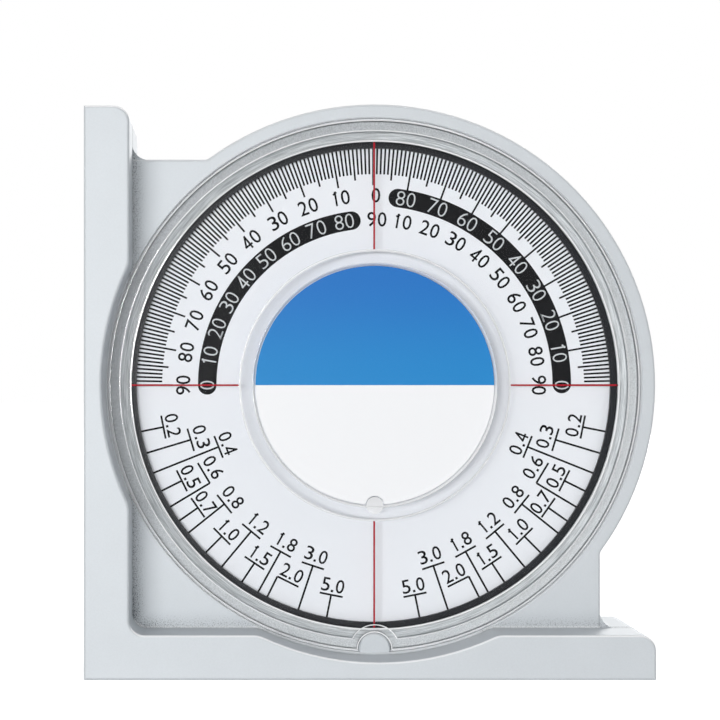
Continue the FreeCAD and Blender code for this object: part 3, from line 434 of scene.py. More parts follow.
@dataclass(frozen=True)
class CastMetal(Finish):
    """Sand-blasted cast metal, with the turned and the blasted steps of the lens seat.

    Painted shade darkens and speckles the web in the corner between the leg and the base, and the
    edges that look up get a painted highlight.
    """

    name: str = "frame_satin"
    centre: Spot = (0, 0, 0)
    lens_radius: float = 49.3 * MM
    seat_front: float = -3.2 * MM
    corner: Spot = (-44.4 * MM, -3.5 * MM, 8.1 * MM)
    key: Spot = (0, 0, 0)
    key_radius: float = 2.95 * MM
    colour: Colour = screen(200, 205, 209)
    # Colour of the painted shade in the corner by the leg and the base.
    grit_colour: Colour = screen(84, 90, 96)
    # Colour of the painted highlight on edges that look up.
    rubbed_colour: Colour = screen(250, 251, 252)
    # Colour of the painted highlight in the gap round the lens.
    gap_colour: Colour = screen(246, 248, 250)
    # Shaded and lit colours of the ledge: painted light and shade round its turn.
    ledge_dark: Colour = screen(144, 148, 152)
    ledge_light: Colour = screen(212, 216, 218)
    bevel_colour: Colour = screen(172, 177, 180)
    bevel_light: Colour = screen(222, 226, 228)
    ledge_width: float = 2.0 * MM
    # The turn at which the ledge is painted lightest.
    ledge_turn: float = 2.2
    gap_width: float = 0.6 * MM
    lip_lead: float = 0.7 * MM
    edge: float = 0.05 * MM
    blur: float = 0.2 * MM
    turning: float = MM / 9
    grain: float = 0.32 * MM
    speck: float = 0.22 * MM
    cloud: float = 6 * MM
    relief: float = 0.012 * MM
    # Where the painted corner shade lies on the web and how far it reaches from the leg and the base.
    grit_depth: tuple[float, float, float] = (-0.5 * MM, 2 * MM, 0.3 * MM)
    grit_start: float = -1 * MM
    grit_by_leg: float = 4 * MM
    grit_by_base: float = 4.2 * MM
    grit_corner: float = 12 * MM
    # Depths over which the painted edge highlight fades.
    rubbed_depth: tuple[float, float] = (-6 * MM, -4 * MM)

    def surface(self, bench: Bench) -> bpy.types.Node:
        """Return the shader of the surface.

        Args:
            bench: The material's bench.

        Returns:
            The shader node.
        """
        grain = bench.noise(self.grain, 3.0, 0.6)
        cloud = bench.noise(self.cloud, 2.0)
        paint = bench.tint(self.colour, 0.08, grain * 0.7 + cloud * 0.3)
        # Painted shade: the web is darkened and speckled close to the leg and the base.
        paint = bench.blend(self.grit(bench), paint, self.grit_colour)
        # Painted highlight on the rounded edges that look up and forward.
        paint = bench.blend(self.rubbed(bench), paint, self.rubbed_colour)
        height = grain * 0.7 + bench.noise(self.grain * 0.4, 2.0) * 0.3
        return bench.coat(
            base_color=self.seat(bench, paint),
            metallic=0.2,
            roughness=0.46 + grain * 0.12,
            normal=bench.bump(height, self.relief),
        )

    def seat(self, bench: Bench, paint: bpy.types.NodeSocket) -> bpy.types.NodeSocket:
        """Paint the lens seat: its blasted ledge with painted light and shade round it, its turned
        bevel, and the gap round the lens, painted bright as a painted highlight.

        Args:
            bench: The material's bench.
            paint: The colour of the metal round it.

        Returns:
            The colour with the seat in it.
        """
        around = bench.polar(self.centre)
        radius, turn, depth = around
        behind = depth.rise(self.seat_front, self.seat_front + self.blur)
        inner = self.lens_radius - self.ledge_width
        ledge = radius.within(inner, self.lens_radius + self.blur, self.edge) * behind
        # Painted light and shade: the ledge is lighter on one side of its turn and darker on the other;
        # the specks are real texture.
        painted_sheen = bench.sum("COSINE", turn - self.ledge_turn) * 0.5 + 0.5
        specks_and_sheen = self.specks(bench) * 0.4 + painted_sheen * 0.6
        paint = bench.blend(ledge, paint, bench.blend(specks_and_sheen, self.ledge_dark, self.ledge_light))

        bevel = (1 - radius.rise(inner - self.edge, inner + self.edge)) * behind
        streak = bench.lines_round(around, self.turning, 9, self.turning * 10, 3.0)
        turned = bench.blend(streak.rise(0.35, 0.65), self.bevel_colour, self.bevel_light)
        paint = bench.blend(bevel, paint, turned)

        lip = self.seat_front - self.lip_lead
        from_key, _, _ = bench.polar(self.key)
        # Painted highlight: the shadowed gap round the lens is painted near white.
        gap = radius.within(self.lens_radius, self.lens_radius + self.gap_width, self.edge * 0.6)
        gap = gap * depth.rise(lip, lip + self.blur / 2)
        gap = gap * from_key.rise(self.key_radius, self.key_radius + self.edge)
        return bench.blend(gap, paint, self.gap_colour)

    def specks(self, bench: Bench) -> Wire:
        """Return the specks of blasted metal, from 0 to 1."""
        return bench.noise(self.speck, 3.0, 0.7).rise(0.36, 0.64)

    def grit(self, bench: Bench) -> Wire:
        """Return where painted shade darkens the web, speckled, close to the leg and the base.

        Args:
            bench: The material's bench.

        Returns:
            The share of grit.
        """
        from_leg, front, above_base = bench.parts(bench.place(self.corner))
        on_web = front.within(*self.grit_depth)
        on_web = on_web * from_leg.rise(self.grit_start, self.grit_start / 2)
        on_web = on_web * above_base.rise(self.grit_start, self.grit_start / 2)
        by_leg = 1 - from_leg.rise(self.grit_start, self.grit_by_leg)
        by_base = 1 - above_base.rise(self.grit_start, self.grit_by_base)
        near = bench.sum("SQRT", from_leg * from_leg + above_base * above_base)
        inner = 1 - near.rise(0, self.grit_corner)
        amount = bench.sum("MAXIMUM", by_leg * 0.85, by_base * 0.75) * (0.7 + inner * 0.3)
        spotted = (self.specks(bench) * 0.85 + amount - 0.85).rise(0, 0.6)
        return on_web * (spotted * 0.78 + amount * 0.34)

    def rubbed(self, bench: Bench) -> Wire:
        """Return where rounded front edges look up and get a painted highlight.

        Args:
            bench: The material's bench.

        Returns:
            The share of painted highlight.
        """
        _, back, up = bench.parts(bench.node("ShaderNodeTexCoord").outputs["Normal"])
        _, front, _ = bench.parts(bench.place(self.corner))
        share = 0.85 - front.rise(*self.rubbed_depth) * 0.5
        return up.rise(0.25, 0.5) * (0 - back).rise(0.2, 0.5) * share


@dataclass(frozen=True)
class ClearPlastic(Finish):
    """Clear moulded plastic, whose side walls, moulded edges, arch and notch get painted highlights as
    pale lines.
    """

    name: str = "lens_clear"
    colour: Colour = screen(252, 253, 254)
    centre: Spot = (0, 0, 0)
    key: Spot = (0, 0, 0)
    ior: float = 1.49
    gloss: float = 0.14
    wall_share: float = 0.9
    line_share: float = 0.85
    veil: float = 0.003
    cloud: float = 3 * MM
    ripple: float = 9 * MM
    relief: float = 0.01 * MM
    line_half: float = 0.14 * MM
    # Radii of the edges that get painted highlight lines.
    rims: tuple[float, ...] = (22.5 * MM, 25.0 * MM, 45.2 * MM, 49.15 * MM)
    step: float = 47.2 * MM
    arch: float = 4.6 * MM
    notch: float = 3.2 * MM
    mark_place: float = 22.25 * MM
    mark: float = 1.55 * MM
    mark_share: float = 0.8

    def surface(self, bench: Bench) -> bpy.types.Node:
        """Return the shader of the surface.

        Args:
            bench: The material's bench.

        Returns:
            The shader node.
        """
        _, facing, _ = bench.parts(bench.node("ShaderNodeTexCoord").outputs["Normal"])
        # Painted highlight: side walls, whose normals turn away from Y, are mixed towards pale solid
        # plastic.
        wall = 1 - abs(facing).rise(0.6, 0.98)
        gloss = Wire(bench, bench.node("ShaderNodeFresnel", inputs={"IOR": self.ior}).outputs[0])
        back = bench.node("ShaderNodeNewGeometry").outputs["Backfacing"]
        front = 1 - Wire(bench, back)
        haze = bench.noise(self.cloud, 3.0) * self.veil
        lines = self.lines(bench) * front * self.line_share
        pale = bench.sum("MAXIMUM", wall * self.wall_share, lines)
        share = bench.sum("MAXIMUM", gloss * front * self.gloss + haze, pale)
        ripple = bench.bump(bench.noise(self.ripple, 2.0), self.relief)
        solid = bench.coat(base_color=self.colour, roughness=0.06, normal=ripple)
        clear = bench.node("ShaderNodeBsdfTransparent")
        return bench.node(
            "ShaderNodeMixShader", inputs={0: share, 1: clear.outputs[0], 2: solid.outputs[0]}
        )

    def lines(self, bench: Bench) -> Wire:
        """Return painted highlights: pale lines along the lens's rounded edges, arch and notch, and
        painted light on the label mark.

        Args:
            bench: The material's bench.

        Returns:
            The share of painted highlight.
        """
        radius, _, _ = bench.polar(self.centre)
        from_key, _, _ = bench.polar(self.key)
        across, depth, up = self.centre
        from_mark, _, _ = bench.polar((across, depth, up - self.mark_place))
        half, soft = self.line_half, self.line_half / 2
        below_step = 1 - radius.rise(self.step, self.step + soft)
        drawn = radius.within(self.step - half, self.step + half, soft)
        drawn = drawn * from_key.rise(self.arch, self.arch + soft)
        shapes = [radius.within(rim - half, rim + half, soft) for rim in self.rims]
        shapes.append(from_key.within(self.arch - half, self.arch + half, soft) * below_step)
        shapes.append(from_key.within(self.notch - half, self.notch + half, soft))
        # Painted light: the label mark is paled over the shade that falls there.
        shapes.append((1 - from_mark.rise(self.mark, self.mark + soft)) * self.mark_share)
        for shape in shapes:
            drawn = bench.sum("MAXIMUM", drawn, shape)
        return drawn


@dataclass(frozen=True)
class DialPaint(Finish):
    """White dial paint with a fine grain."""

    name: str = "dial_white"
    colour: Colour = screen(242, 245, 250)
    grain: float = 0.4 * MM
    cloud: float = 14 * MM
    relief: float = 0.004 * MM

    def surface(self, bench: Bench) -> bpy.types.Node:
        """Return the shader of the surface.

        Args:
            bench: The material's bench.

        Returns:
            The shader node.
        """
        fine = bench.noise(self.grain, 3.0)
        broad = bench.noise(self.cloud, 2.0)
        paint = bench.tint(self.colour, 0.02, fine * 0.5 + broad * 0.5)
        normal = bench.bump(fine, self.relief)
        return bench.coat(
            base_color=paint, roughness=0.5 + fine * 0.1, specular=0.2, normal=normal
        )


@dataclass(frozen=True)
class Ink(Finish):
    """Printing ink, a little uneven in tone."""

    colour: Colour
    spread: float = 0.2
    specular: float = 0.08
    grain: float = 0.3 * MM

    def surface(self, bench: Bench) -> bpy.types.Node:
        """Return the shader of the surface.

        Args:
            bench: The material's bench.

        Returns:
            The shader node.
        """
        fine = bench.noise(self.grain, 3.0)
        paint = bench.tint(self.colour, self.spread, fine)
        return bench.coat(base_color=paint, roughness=0.5 + fine * 0.2, specular=self.specular)


@dataclass(frozen=True)
class LabelPrint(Finish):
    """The label's print: blue above the middle and white below; the blue is painted darker towards the
    top as painted shade.
    """

    name: str = "label_print"
    middle: float = 0.0
    radius: float = 22 * MM
    blue_top: Colour = screen(6, 114, 198)
    blue_low: Colour = screen(10, 136, 207)
    white: Colour = screen(250, 251, 253)
    speck_colour: Colour = screen(255, 255, 255)
    mottle: float = 0.02
    edge: float = 0.03 * MM
    grain: float = 0.25 * MM
    relief: float = 0.003 * MM

    def surface(self, bench: Bench) -> bpy.types.Node:
        """Return the shader of the surface.

        Args:
            bench: The material's bench.

        Returns:
            The shader node.
        """
        _, _, up = bench.parts(bench.place((0, 0, self.middle)))
        fine = bench.noise(self.grain, 3.0)
        # Painted shade: the blue darkens towards the top of the label.
        rising = (up / self.radius).rise(0.0, 1.0)
        blue = bench.blend(rising, self.blue_low, self.blue_top)
        mottled = bench.blend(fine * self.mottle, blue, self.speck_colour)
        white = bench.tint(self.white, 0.015, fine)
        paint = bench.blend(up.rise(-self.edge, self.edge), white, mottled)
        normal = bench.bump(fine, self.relief)
        return bench.coat(
            base_color=paint, roughness=0.4 + fine * 0.1, specular=0.2, normal=normal
        )


@dataclass(frozen=True)
class Rubber(Finish):
    """Black rubber with a soft sheen and fine moulding lines round it."""

    name: str = "seal_black"
    centre: Spot = (0, 0, 0)
    colour: Colour = screen(12, 14, 18)
    grey: Colour = screen(34, 40, 50)
    line: float = 0.25 * MM
    dust: float = 0.4 * MM
    relief: float = 0.01 * MM

    def surface(self, bench: Bench) -> bpy.types.Node:
        """Return the shader of the surface.

        Args:
            bench: The material's bench.

        Returns:
            The shader node.
        """
        around = bench.polar(self.centre)
        lines = bench.lines_round(around, self.line, 3, self.line, roughness=0.5)
        dust = bench.noise(self.dust, 4.0, 0.7).rise(0.55, 0.8)
        paint = bench.blend(lines * 0.35 + dust * 0.3, self.colour, self.grey)
        normal = bench.bump(lines, self.relief)
        return bench.coat(
            base_color=paint, roughness=0.3 + lines * 0.15, specular=0.2, normal=normal
        )


@dataclass(frozen=True)
class TurnedMetal(Finish):
    """Turned metal, with tool lines round its axis."""

    centre: Spot
    light: Colour
    dark: Colour
    line: float = 0.12 * MM
    breaks: float = 0.8
    stain: float = 3 * MM
    relief: float = 0.006 * MM
    roughness: float = 0.28

    def surface(self, bench: Bench) -> bpy.types.Node:
        """Return the shader of the surface.

        Args:
            bench: The material's bench.

        Returns:
            The shader node.
        """
        around = bench.polar(self.centre)
        lines = bench.lines_round(around, self.line, self.breaks, self.line)
        stain = bench.noise(self.stain, 3.0)
        paint = bench.blend(lines * 0.6 + stain * 0.4, self.dark, self.light)
        normal = bench.bump(lines, self.relief)
        return bench.coat(
            base_color=paint,
            metallic=1.0,
            roughness=self.roughness + lines * 0.15,
            normal=normal,
        )


@dataclass(frozen=True)
class RoughMetal(Finish):
    """Plain rolled, pressed or cast metal, mottled and a little pitted."""

    light: Colour
    dark: Colour
    grain: float = 0.3 * MM
    cloud_share: float = 14
    relief: float = 0.02 * MM
    metallic: float = 1.0
    roughness: float = 0.4

    def surface(self, bench: Bench) -> bpy.types.Node:
        """Return the shader of the surface.

        Args:
            bench: The material's bench.

        Returns:
            The shader node.
        """
        grain = bench.noise(self.grain, 4.0, 0.65)
        broad = bench.noise(self.grain * self.cloud_share, 3.0)
        paint = bench.blend(grain * 0.5 + broad * 0.5, self.dark, self.light)
        normal = bench.bump(grain, self.relief)
        return bench.coat(
            base_color=paint,
            metallic=self.metallic,
            roughness=self.roughness + grain * 0.2,
            normal=normal,
        )


@dataclass(frozen=True)
class Moulding(Finish):
    """Spark-textured moulded plastic."""

    colour: Colour
    grain: float = 0.35 * MM
    cloud: float = 9 * MM
    relief: float = 0.02 * MM

    def surface(self, bench: Bench) -> bpy.types.Node:
        """Return the shader of the surface.

        Args:
            bench: The material's bench.

        Returns:
            The shader node.
        """
        grain = bench.noise(self.grain, 3.0, 0.6)
        broad = bench.noise(self.cloud, 2.0)
        paint = bench.tint(self.colour, 0.05, grain * 0.6 + broad * 0.4)
        normal = bench.bump(grain, self.relief)
        return bench.coat(base_color=paint, roughness=0.5 + grain * 0.15, normal=normal)


def middle(node: str) -> Vector:
    """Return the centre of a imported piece's box."""
    low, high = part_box(node)
    return (low + high) / 2


def dress(node: str, finish: Finish) -> None:
    """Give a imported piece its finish.

    Args:
        node: The piece's name.
        finish: The finish.
    """
    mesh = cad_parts[node].data
    mesh.materials.clear()
    mesh.materials.append(finish.material())
    LOG.info("%s is dressed in %s", node, finish.name)


class Sense(Enum):
    """The side of the dial on which a scale lies."""

    LEFT = -1
    RIGHT = 1


@dataclass
class InkSheet:
    """Flat printed shapes, drawn about the dial's centre and then raised to the ink's thickness.

    A bearing is the turn from the top of the dial, clockwise as the reader sees it, in degrees.
    """

    name: str
    cap_steps: int = 12
    tolerance: float = 1e-7
    shapes: bmesh.types.BMesh = field(default_factory=bmesh.new)

    def spot(self, radius: float, bearing: float) -> Matrix:
        """Return the place at a radius and a bearing, turned so that its top points outwards."""
        return Matrix.Rotation(-math.radians(bearing), 4, "Z") @ Matrix.Translation((0, radius, 0))

    def bar(self, radius: float, bearing: float, width: float, height: float, aside: float = 0) -> None:
        """Print a straight bar.

        Args:
            radius: The radius of its middle.
            bearing: Its bearing.
            width: Its size across the radius.
            height: Its size along the radius.
            aside: How far it is shifted clockwise.
        """
        place = self.spot(radius, bearing) @ Matrix.Translation((aside, 0, 0))
        place = place @ Matrix.Diagonal((width, height, 1, 1))
        bmesh.ops.create_grid(self.shapes, x_segments=1, y_segments=1, size=0.5, matrix=place)

    def band(self, inner: float, outer: float, start: float, end: float, steps: int = 60) -> None:
        """Print a curved band with round ends.

        Args:
            inner: Its inner radius.
            outer: Its outer radius.
            start: The bearing of its first end, tip included.
            end: The bearing of its last end, tip included.
            steps: The steps along the band.
        """
        half = (outer - inner) / 2
        centre_radius = inner + half
        tip = math.degrees(half / centre_radius)
        first, last = start + tip, end - tip
        edge = [self.shapes.verts.new((0, r, 0)) for r in (inner, outer)]
        line = self.shapes.edges.new(edge)
        turn = Matrix.Rotation(-math.radians(first), 4, "Z")
        bmesh.ops.transform(self.shapes, matrix=turn, verts=edge)
        made = bmesh.ops.spin(
            self.shapes,
            geom=[*edge, line],
            axis=(0, 0, -1),
            cent=(0, 0, 0),
            angle=math.radians(last - first),
            steps=steps,
        )
        far_edge = [item for item in made["geom_last"] if isinstance(item, bmesh.types.BMVert)]
        for verts, bearing, way in ((edge, first, -1), (far_edge, last, 1)):
            outermost = max(verts, key=lambda vert: vert.co.length)
            innermost = min(verts, key=lambda vert: vert.co.length)
            cap_centre = self.spot(centre_radius, bearing).translation
            rim = bmesh.ops.spin(
                self.shapes,
                geom=[outermost],
                axis=(0, 0, -way),
                cent=cap_centre,
                angle=math.pi,
                steps=self.cap_steps,
            )
            tip_end = next(v for v in rim["geom_last"] if isinstance(v, bmesh.types.BMVert))
            bmesh.ops.pointmerge(self.shapes, verts=[innermost, tip_end], merge_co=innermost.co)
            around = self.rim_of(outermost, innermost, cap_centre, half)
            bmesh.ops.contextual_create(self.shapes, geom=around)

    def rim_of(
        self,
        first: bmesh.types.BMVert,
        last: bmesh.types.BMVert,
        centre: Vector,
        radius: float,
    ) -> list[bmesh.types.BMEdge]:
        """Return the edges of a half-round cap: its arc and the band's end between its ends.

        Args:
            first: One end of the arc.
            last: The other end.
            centre: The arc's centre.
            radius: The arc's radius.

        Returns:
            The loop of edges.
        """
        found = []
        for edge in self.shapes.edges:
            if all(abs((vert.co - centre).length - radius) < self.tolerance for vert in edge.verts):
                ends = set(edge.verts)
                if not edge.link_faces or ends == {first, last}:
                    found.append(edge)
        return found

    def write(self, text: str, lettering: "Lettering", place: Matrix) -> None:
        """Print a number.

        Args:
            text: The number.
            lettering: How its digits look.
            place: Where its middle goes, and how it is turned.
        """
        digits = lettering.flat(text)
        digits.transform(place)
        self.shapes.from_mesh(digits)
        bpy.data.meshes.remove(digits)

    def raised(self, stand: Matrix, thickness: float, sink: float, finish: Finish) -> bpy.types.Object:
        """Raise the shapes to their thickness and stand them on the dial.

        Args:
            stand: What carries the flat drawing to the dial's face.
            thickness: How far the ink rises above the face.
            sink: How far it reaches into the face.
            finish: The ink.

        Returns:
            The piece.
        """
        made = bmesh.ops.extrude_face_region(
            self.shapes, geom=self.shapes.faces[:], use_keep_orig=True
        )
        tops = [item for item in made["geom"] if isinstance(item, bmesh.types.BMVert)]
        bmesh.ops.translate(self.shapes, vec=(0, 0, thickness + sink), verts=tops)
        bmesh.ops.translate(self.shapes, vec=(0, 0, -sink), verts=self.shapes.verts[:])
        bmesh.ops.transform(self.shapes, matrix=stand, verts=self.shapes.verts[:])
        bmesh.ops.recalc_face_normals(self.shapes, faces=self.shapes.faces[:])
        mesh = finished_mesh(self.shapes, self.name)
        mesh.materials.append(finish.material())
        return put(self.name, mesh)


@dataclass(frozen=True)
class Lettering:
    """How a scale's numbers look. Widths and steps are shares of the height."""

    height: float = 2.75 * MM
    stroke: float = 0.13
    point: float = 0.17
    width: float = 0.6
    digit_step: float = 0.72
    point_step: float = 0.32
    flag_reach: float = 0.3
    flag_angle: float = 34.0
    four_stem: float = 0.12
    four_bar: float = -0.22
    weight: float = 0.006
    smoothness: int = 3

    def flat(self, text: str) -> bpy.types.Mesh:
        """Make a number as a flat mesh with its middle at zero.

        Args:
            text: The number.

        Returns:
            The mesh.
        """
        shapes = bmesh.new()
        start = 0.0
        for sign in text:
            step = self.point_step if sign == "." else self.digit_step
            glyph = self.glyph(sign)
            glyph.transform(Matrix.Translation((start + step / 2, 0, 0)))
            shapes.from_mesh(glyph)
            bpy.data.meshes.remove(glyph)
            start += step
        fit = Matrix.Scale(self.height, 4) @ Matrix.Translation((-start / 2, 0, 0))
        bmesh.ops.transform(shapes, matrix=fit, verts=shapes.verts[:])
        return finished_mesh(shapes, "number")

    def glyph(self, sign: str) -> bpy.types.Mesh:
        """Make one digit or the point, one unit high, with its middle at zero.

        Args:
            sign: The digit or the point.

        Returns:
            The mesh.
        """
        if sign == ".":
            foot = Matrix.Translation((0, (self.point - 1) / 2, 0))
            return self.bars([foot], [(self.point, self.point)])
        if sign == "1":
            return self.one()
        if sign == "4":
            return self.four()
        return self.fitted(sign)

    def one(self) -> bpy.types.Mesh:
        """Make the digit 1: an upright stem with a slanting flag at its top.

        Returns:
            The mesh.
        """
        stem = Matrix.Translation((self.stroke / 2, 0, 0))
        flag = Matrix.Translation((self.stroke, 0.5, 0))
        flag = flag @ Matrix.Rotation(math.radians(self.flag_angle), 4, "Z")
        flag = flag @ Matrix.Translation((-self.flag_reach / 2, -self.stroke / 2, 0))
        return self.bars([stem, flag], [(self.stroke, 1.0), (self.flag_reach, self.stroke)])

    def four(self) -> bpy.types.Mesh:
        """Make the digit 4: a stem right of the middle, a bar across it and a long slope.

        Returns:
            The mesh.
        """
        stem = Matrix.Translation((self.four_stem, 0, 0))
        across = Matrix.Translation((0, self.four_bar, 0))
        top = Vector((self.four_stem, 0.5 - self.stroke / 2))
        foot = Vector(((self.stroke - self.width) / 2, self.four_bar))
        lean = math.atan2(top.y - foot.y, top.x - foot.x)
        slope_middle = ((top + foot) / 2).to_3d()
        slope = Matrix.Translation(slope_middle) @ Matrix.Rotation(lean, 4, "Z")
        sizes = [(self.stroke, 1.0), (self.width, self.stroke), ((top - foot).length, self.stroke)]
        return self.bars([stem, across, slope], sizes)

    def bars(self, places: list[Matrix], sizes: list[tuple[float, float]]) -> bpy.types.Mesh:
        """Make flat bars.

        Args:
            places: Where each bar's middle goes, and how it is turned.
            sizes: The width and the height of each bar.

        Returns:
            The mesh.
        """
        shapes = bmesh.new()
        for place, (width, height) in zip(places, sizes):
            fit = place @ Matrix.Diagonal((width, height, 1, 1))
            bmesh.ops.create_grid(shapes, x_segments=1, y_segments=1, size=0.5, matrix=fit)
        return finished_mesh(shapes, "bars")

    def fitted(self, sign: str) -> bpy.types.Mesh:
        """Make a digit from the built-in font, fitted to the common width and height.

        Args:
            sign: The digit.

        Returns:
            The mesh.
        """
        curve = bpy.data.curves.new("number", "FONT")
        curve.body = sign
        curve.resolution_u = self.smoothness
        curve.offset = self.weight
        holder = bpy.data.objects.new("number", curve)
        mesh = bpy.data.meshes.new_from_object(holder)
        bpy.data.objects.remove(holder)
        bpy.data.curves.remove(curve)
        across = [vert.co.x for vert in mesh.vertices]
        up = [vert.co.y for vert in mesh.vertices]
        centre = Vector((min(across) + max(across), min(up) + max(up), 0)) / 2
        size = (self.width / (max(across) - min(across)), 1 / (max(up) - min(up)), 1, 1)
        mesh.transform(Matrix.Diagonal(size) @ Matrix.Translation(-centre))
        return mesh


@dataclass
class AngleScale:
    """The upper half of the dial: degree ticks and two rows of numbers on each side."""

    ring_radius: float = 44.45 * MM
    tick_width: float = 0.34 * MM
    one_degree: float = 39.55 * MM
    five_degrees: float = 38.5 * MM
    ten_degrees: float = 37.5 * MM
    ten_by_band: float = 37.0 * MM
    quarter: int = 90
    step: int = 10
    half_step: int = 5
    band_half: float = 1.74 * MM
    left_outer_row: float = 35.6 * MM
    left_band_row: float = 31.1 * MM
    right_band_row: float = 35.38 * MM
    right_inner_row: float = 31.1 * MM
    left_band_span: tuple[float, float] = (-93.3, -4.3)
    right_band_span: tuple[float, float] = (4.7, 92.5)
    zero_bearing: float = 0.85
    ninety_bearing: float = 1.3
    lettering: Lettering = field(default_factory=Lettering)
    light_lettering: Lettering = field(default_factory=lambda: Lettering(stroke=0.1, weight=-0.012))

    def ticks(self) -> InkSheet:
        """Draw the ticks: one each degree, longer at five and at ten.

        Returns:
            The drawn sheet.
        """
        sheet = InkSheet("angle_ticks")
        for bearing in range(-self.quarter, self.quarter + 1):
            inner = self.one_degree
            if bearing % self.half_step == 0:
                inner = self.five_degrees
            if bearing % self.step == 0:
                inner = self.ten_degrees if bearing <= 0 else self.ten_by_band
            length = self.ring_radius - inner
            sheet.bar(inner + length / 2, bearing, self.tick_width, length)
        return sheet

    def bands(self) -> InkSheet:
        """Draw the two dark bands that carry the light numbers.

        Returns:
            The drawn sheet.
        """
        sheet = InkSheet("number_bands")
        for row, span in (
            (self.left_band_row, self.left_band_span),
            (self.right_band_row, self.right_band_span),
        ):
            sheet.band(row - self.band_half, row + self.band_half, *span)
        return sheet

    def dark_numbers(self) -> InkSheet:
        """Draw the dark numbers, 10 to 90 away from the top on each side.

        Returns:
            The drawn sheet.
        """
        sheet = InkSheet("angle_numbers")
        rows = {Sense.LEFT: self.left_outer_row, Sense.RIGHT: self.right_inner_row}
        for sense, row in rows.items():
            for value in range(self.step, self.quarter + 1, self.step):
                spot = sheet.spot(row, value * sense.value)
                sheet.write(str(value), self.lettering, spot)
        sheet.write("0", self.lettering, sheet.spot(self.left_outer_row, self.zero_bearing))
        sheet.write("90", self.lettering, sheet.spot(self.right_inner_row, self.ninety_bearing))
        return sheet

    def light_numbers(self) -> InkSheet:
        """Draw the light numbers on the bands, 80 to 0 away from the top on each side.

        Returns:
            The drawn sheet.
        """
        sheet = InkSheet("band_numbers")
        rows = {Sense.LEFT: self.left_band_row, Sense.RIGHT: self.right_band_row}
        for sense, row in rows.items():
            for value in range(0, self.quarter, self.step):
                bearing = (self.quarter - value) * sense.value
                sheet.write(str(value), self.light_lettering, sheet.spot(row, bearing))
        return sheet


class Rank(Enum):
    """How far from the ring a slope number stands: its line's radius and its number's radius."""

    SHORT = (40.1 * MM, 38.3 * MM)
    MIDDLE = (35.7 * MM, 33.6 * MM)
    LONG = (31.2 * MM, 29.35 * MM)


@dataclass
class SlopeScale:
    """The lower half of the dial: slope marks, rise over run, mirrored about the bottom."""

    ring_radius: float = 44.45 * MM
    line_width: float = 0.36 * MM
    underline: float = 4.4 * MM
    lettering: Lettering = field(default_factory=lambda: Lettering(height=2.6 * MM))
    short: tuple[float, ...] = (0.2, 0.5, 0.7, 1.0, 1.5, 2.0, 5.0)
    middle: tuple[float, ...] = (0.3, 0.6, 0.8, 1.2, 1.8, 3.0)
    long: tuple[float, ...] = (0.4,)
    upward_only: tuple[float, ...] = (0.6,)
    downward_only: tuple[float, ...] = (2.0,)

    def marks(self) -> list[tuple[float, Rank]]:
        """Return each slope with its rank."""
        rows = ((Rank.SHORT, self.short), (Rank.MIDDLE, self.middle), (Rank.LONG, self.long))
        return [(slope, rank) for rank, slopes in rows for slope in slopes]

    def bearing(self, slope: float, sense: Sense) -> float:
        """Return the bearing of a slope's mark."""
        return 180 - sense.value * math.degrees(math.atan(1 / slope))

    def aside(self, slope: float, sense: Sense) -> float:
        """Return how far a slope's underline and number stand clockwise of its line.

        Args:
            slope: The rise over the run.
            sense: The side of the dial.

        Returns:
            The shift.
        """
        if slope in self.upward_only:
            return -sense.value * self.underline / 2
        if slope in self.downward_only:
            return sense.value * self.underline / 2
        return 0.0

    def lines(self) -> InkSheet:
        """Draw each mark's radial line and the underline at its inner end.

        Returns:
            The drawn sheet.
        """
        sheet = InkSheet("slope_lines")
        for slope, rank in self.marks():
            line_radius, _ = rank.value
            length = self.ring_radius - line_radius
            for sense in Sense:
                bearing = self.bearing(slope, sense)
                sheet.bar(line_radius + length / 2, bearing, self.line_width, length)
                aside = self.aside(slope, sense)
                sheet.bar(line_radius, bearing, self.underline, self.line_width, aside)
        return sheet

    def numbers(self) -> InkSheet:
        """Draw each mark's number, with its top towards the dial's centre.

        Returns:
            The drawn sheet.
        """
        sheet = InkSheet("slope_numbers")
        over = Matrix.Rotation(math.pi, 4, "Z")
        for slope, rank in self.marks():
            _, number_radius = rank.value
            for sense in Sense:
                place = sheet.spot(number_radius, self.bearing(slope, sense))
                place = place @ Matrix.Translation((self.aside(slope, sense), 0, 0)) @ over
                sheet.write(f"{slope:.1f}", self.lettering, place)
        return sheet


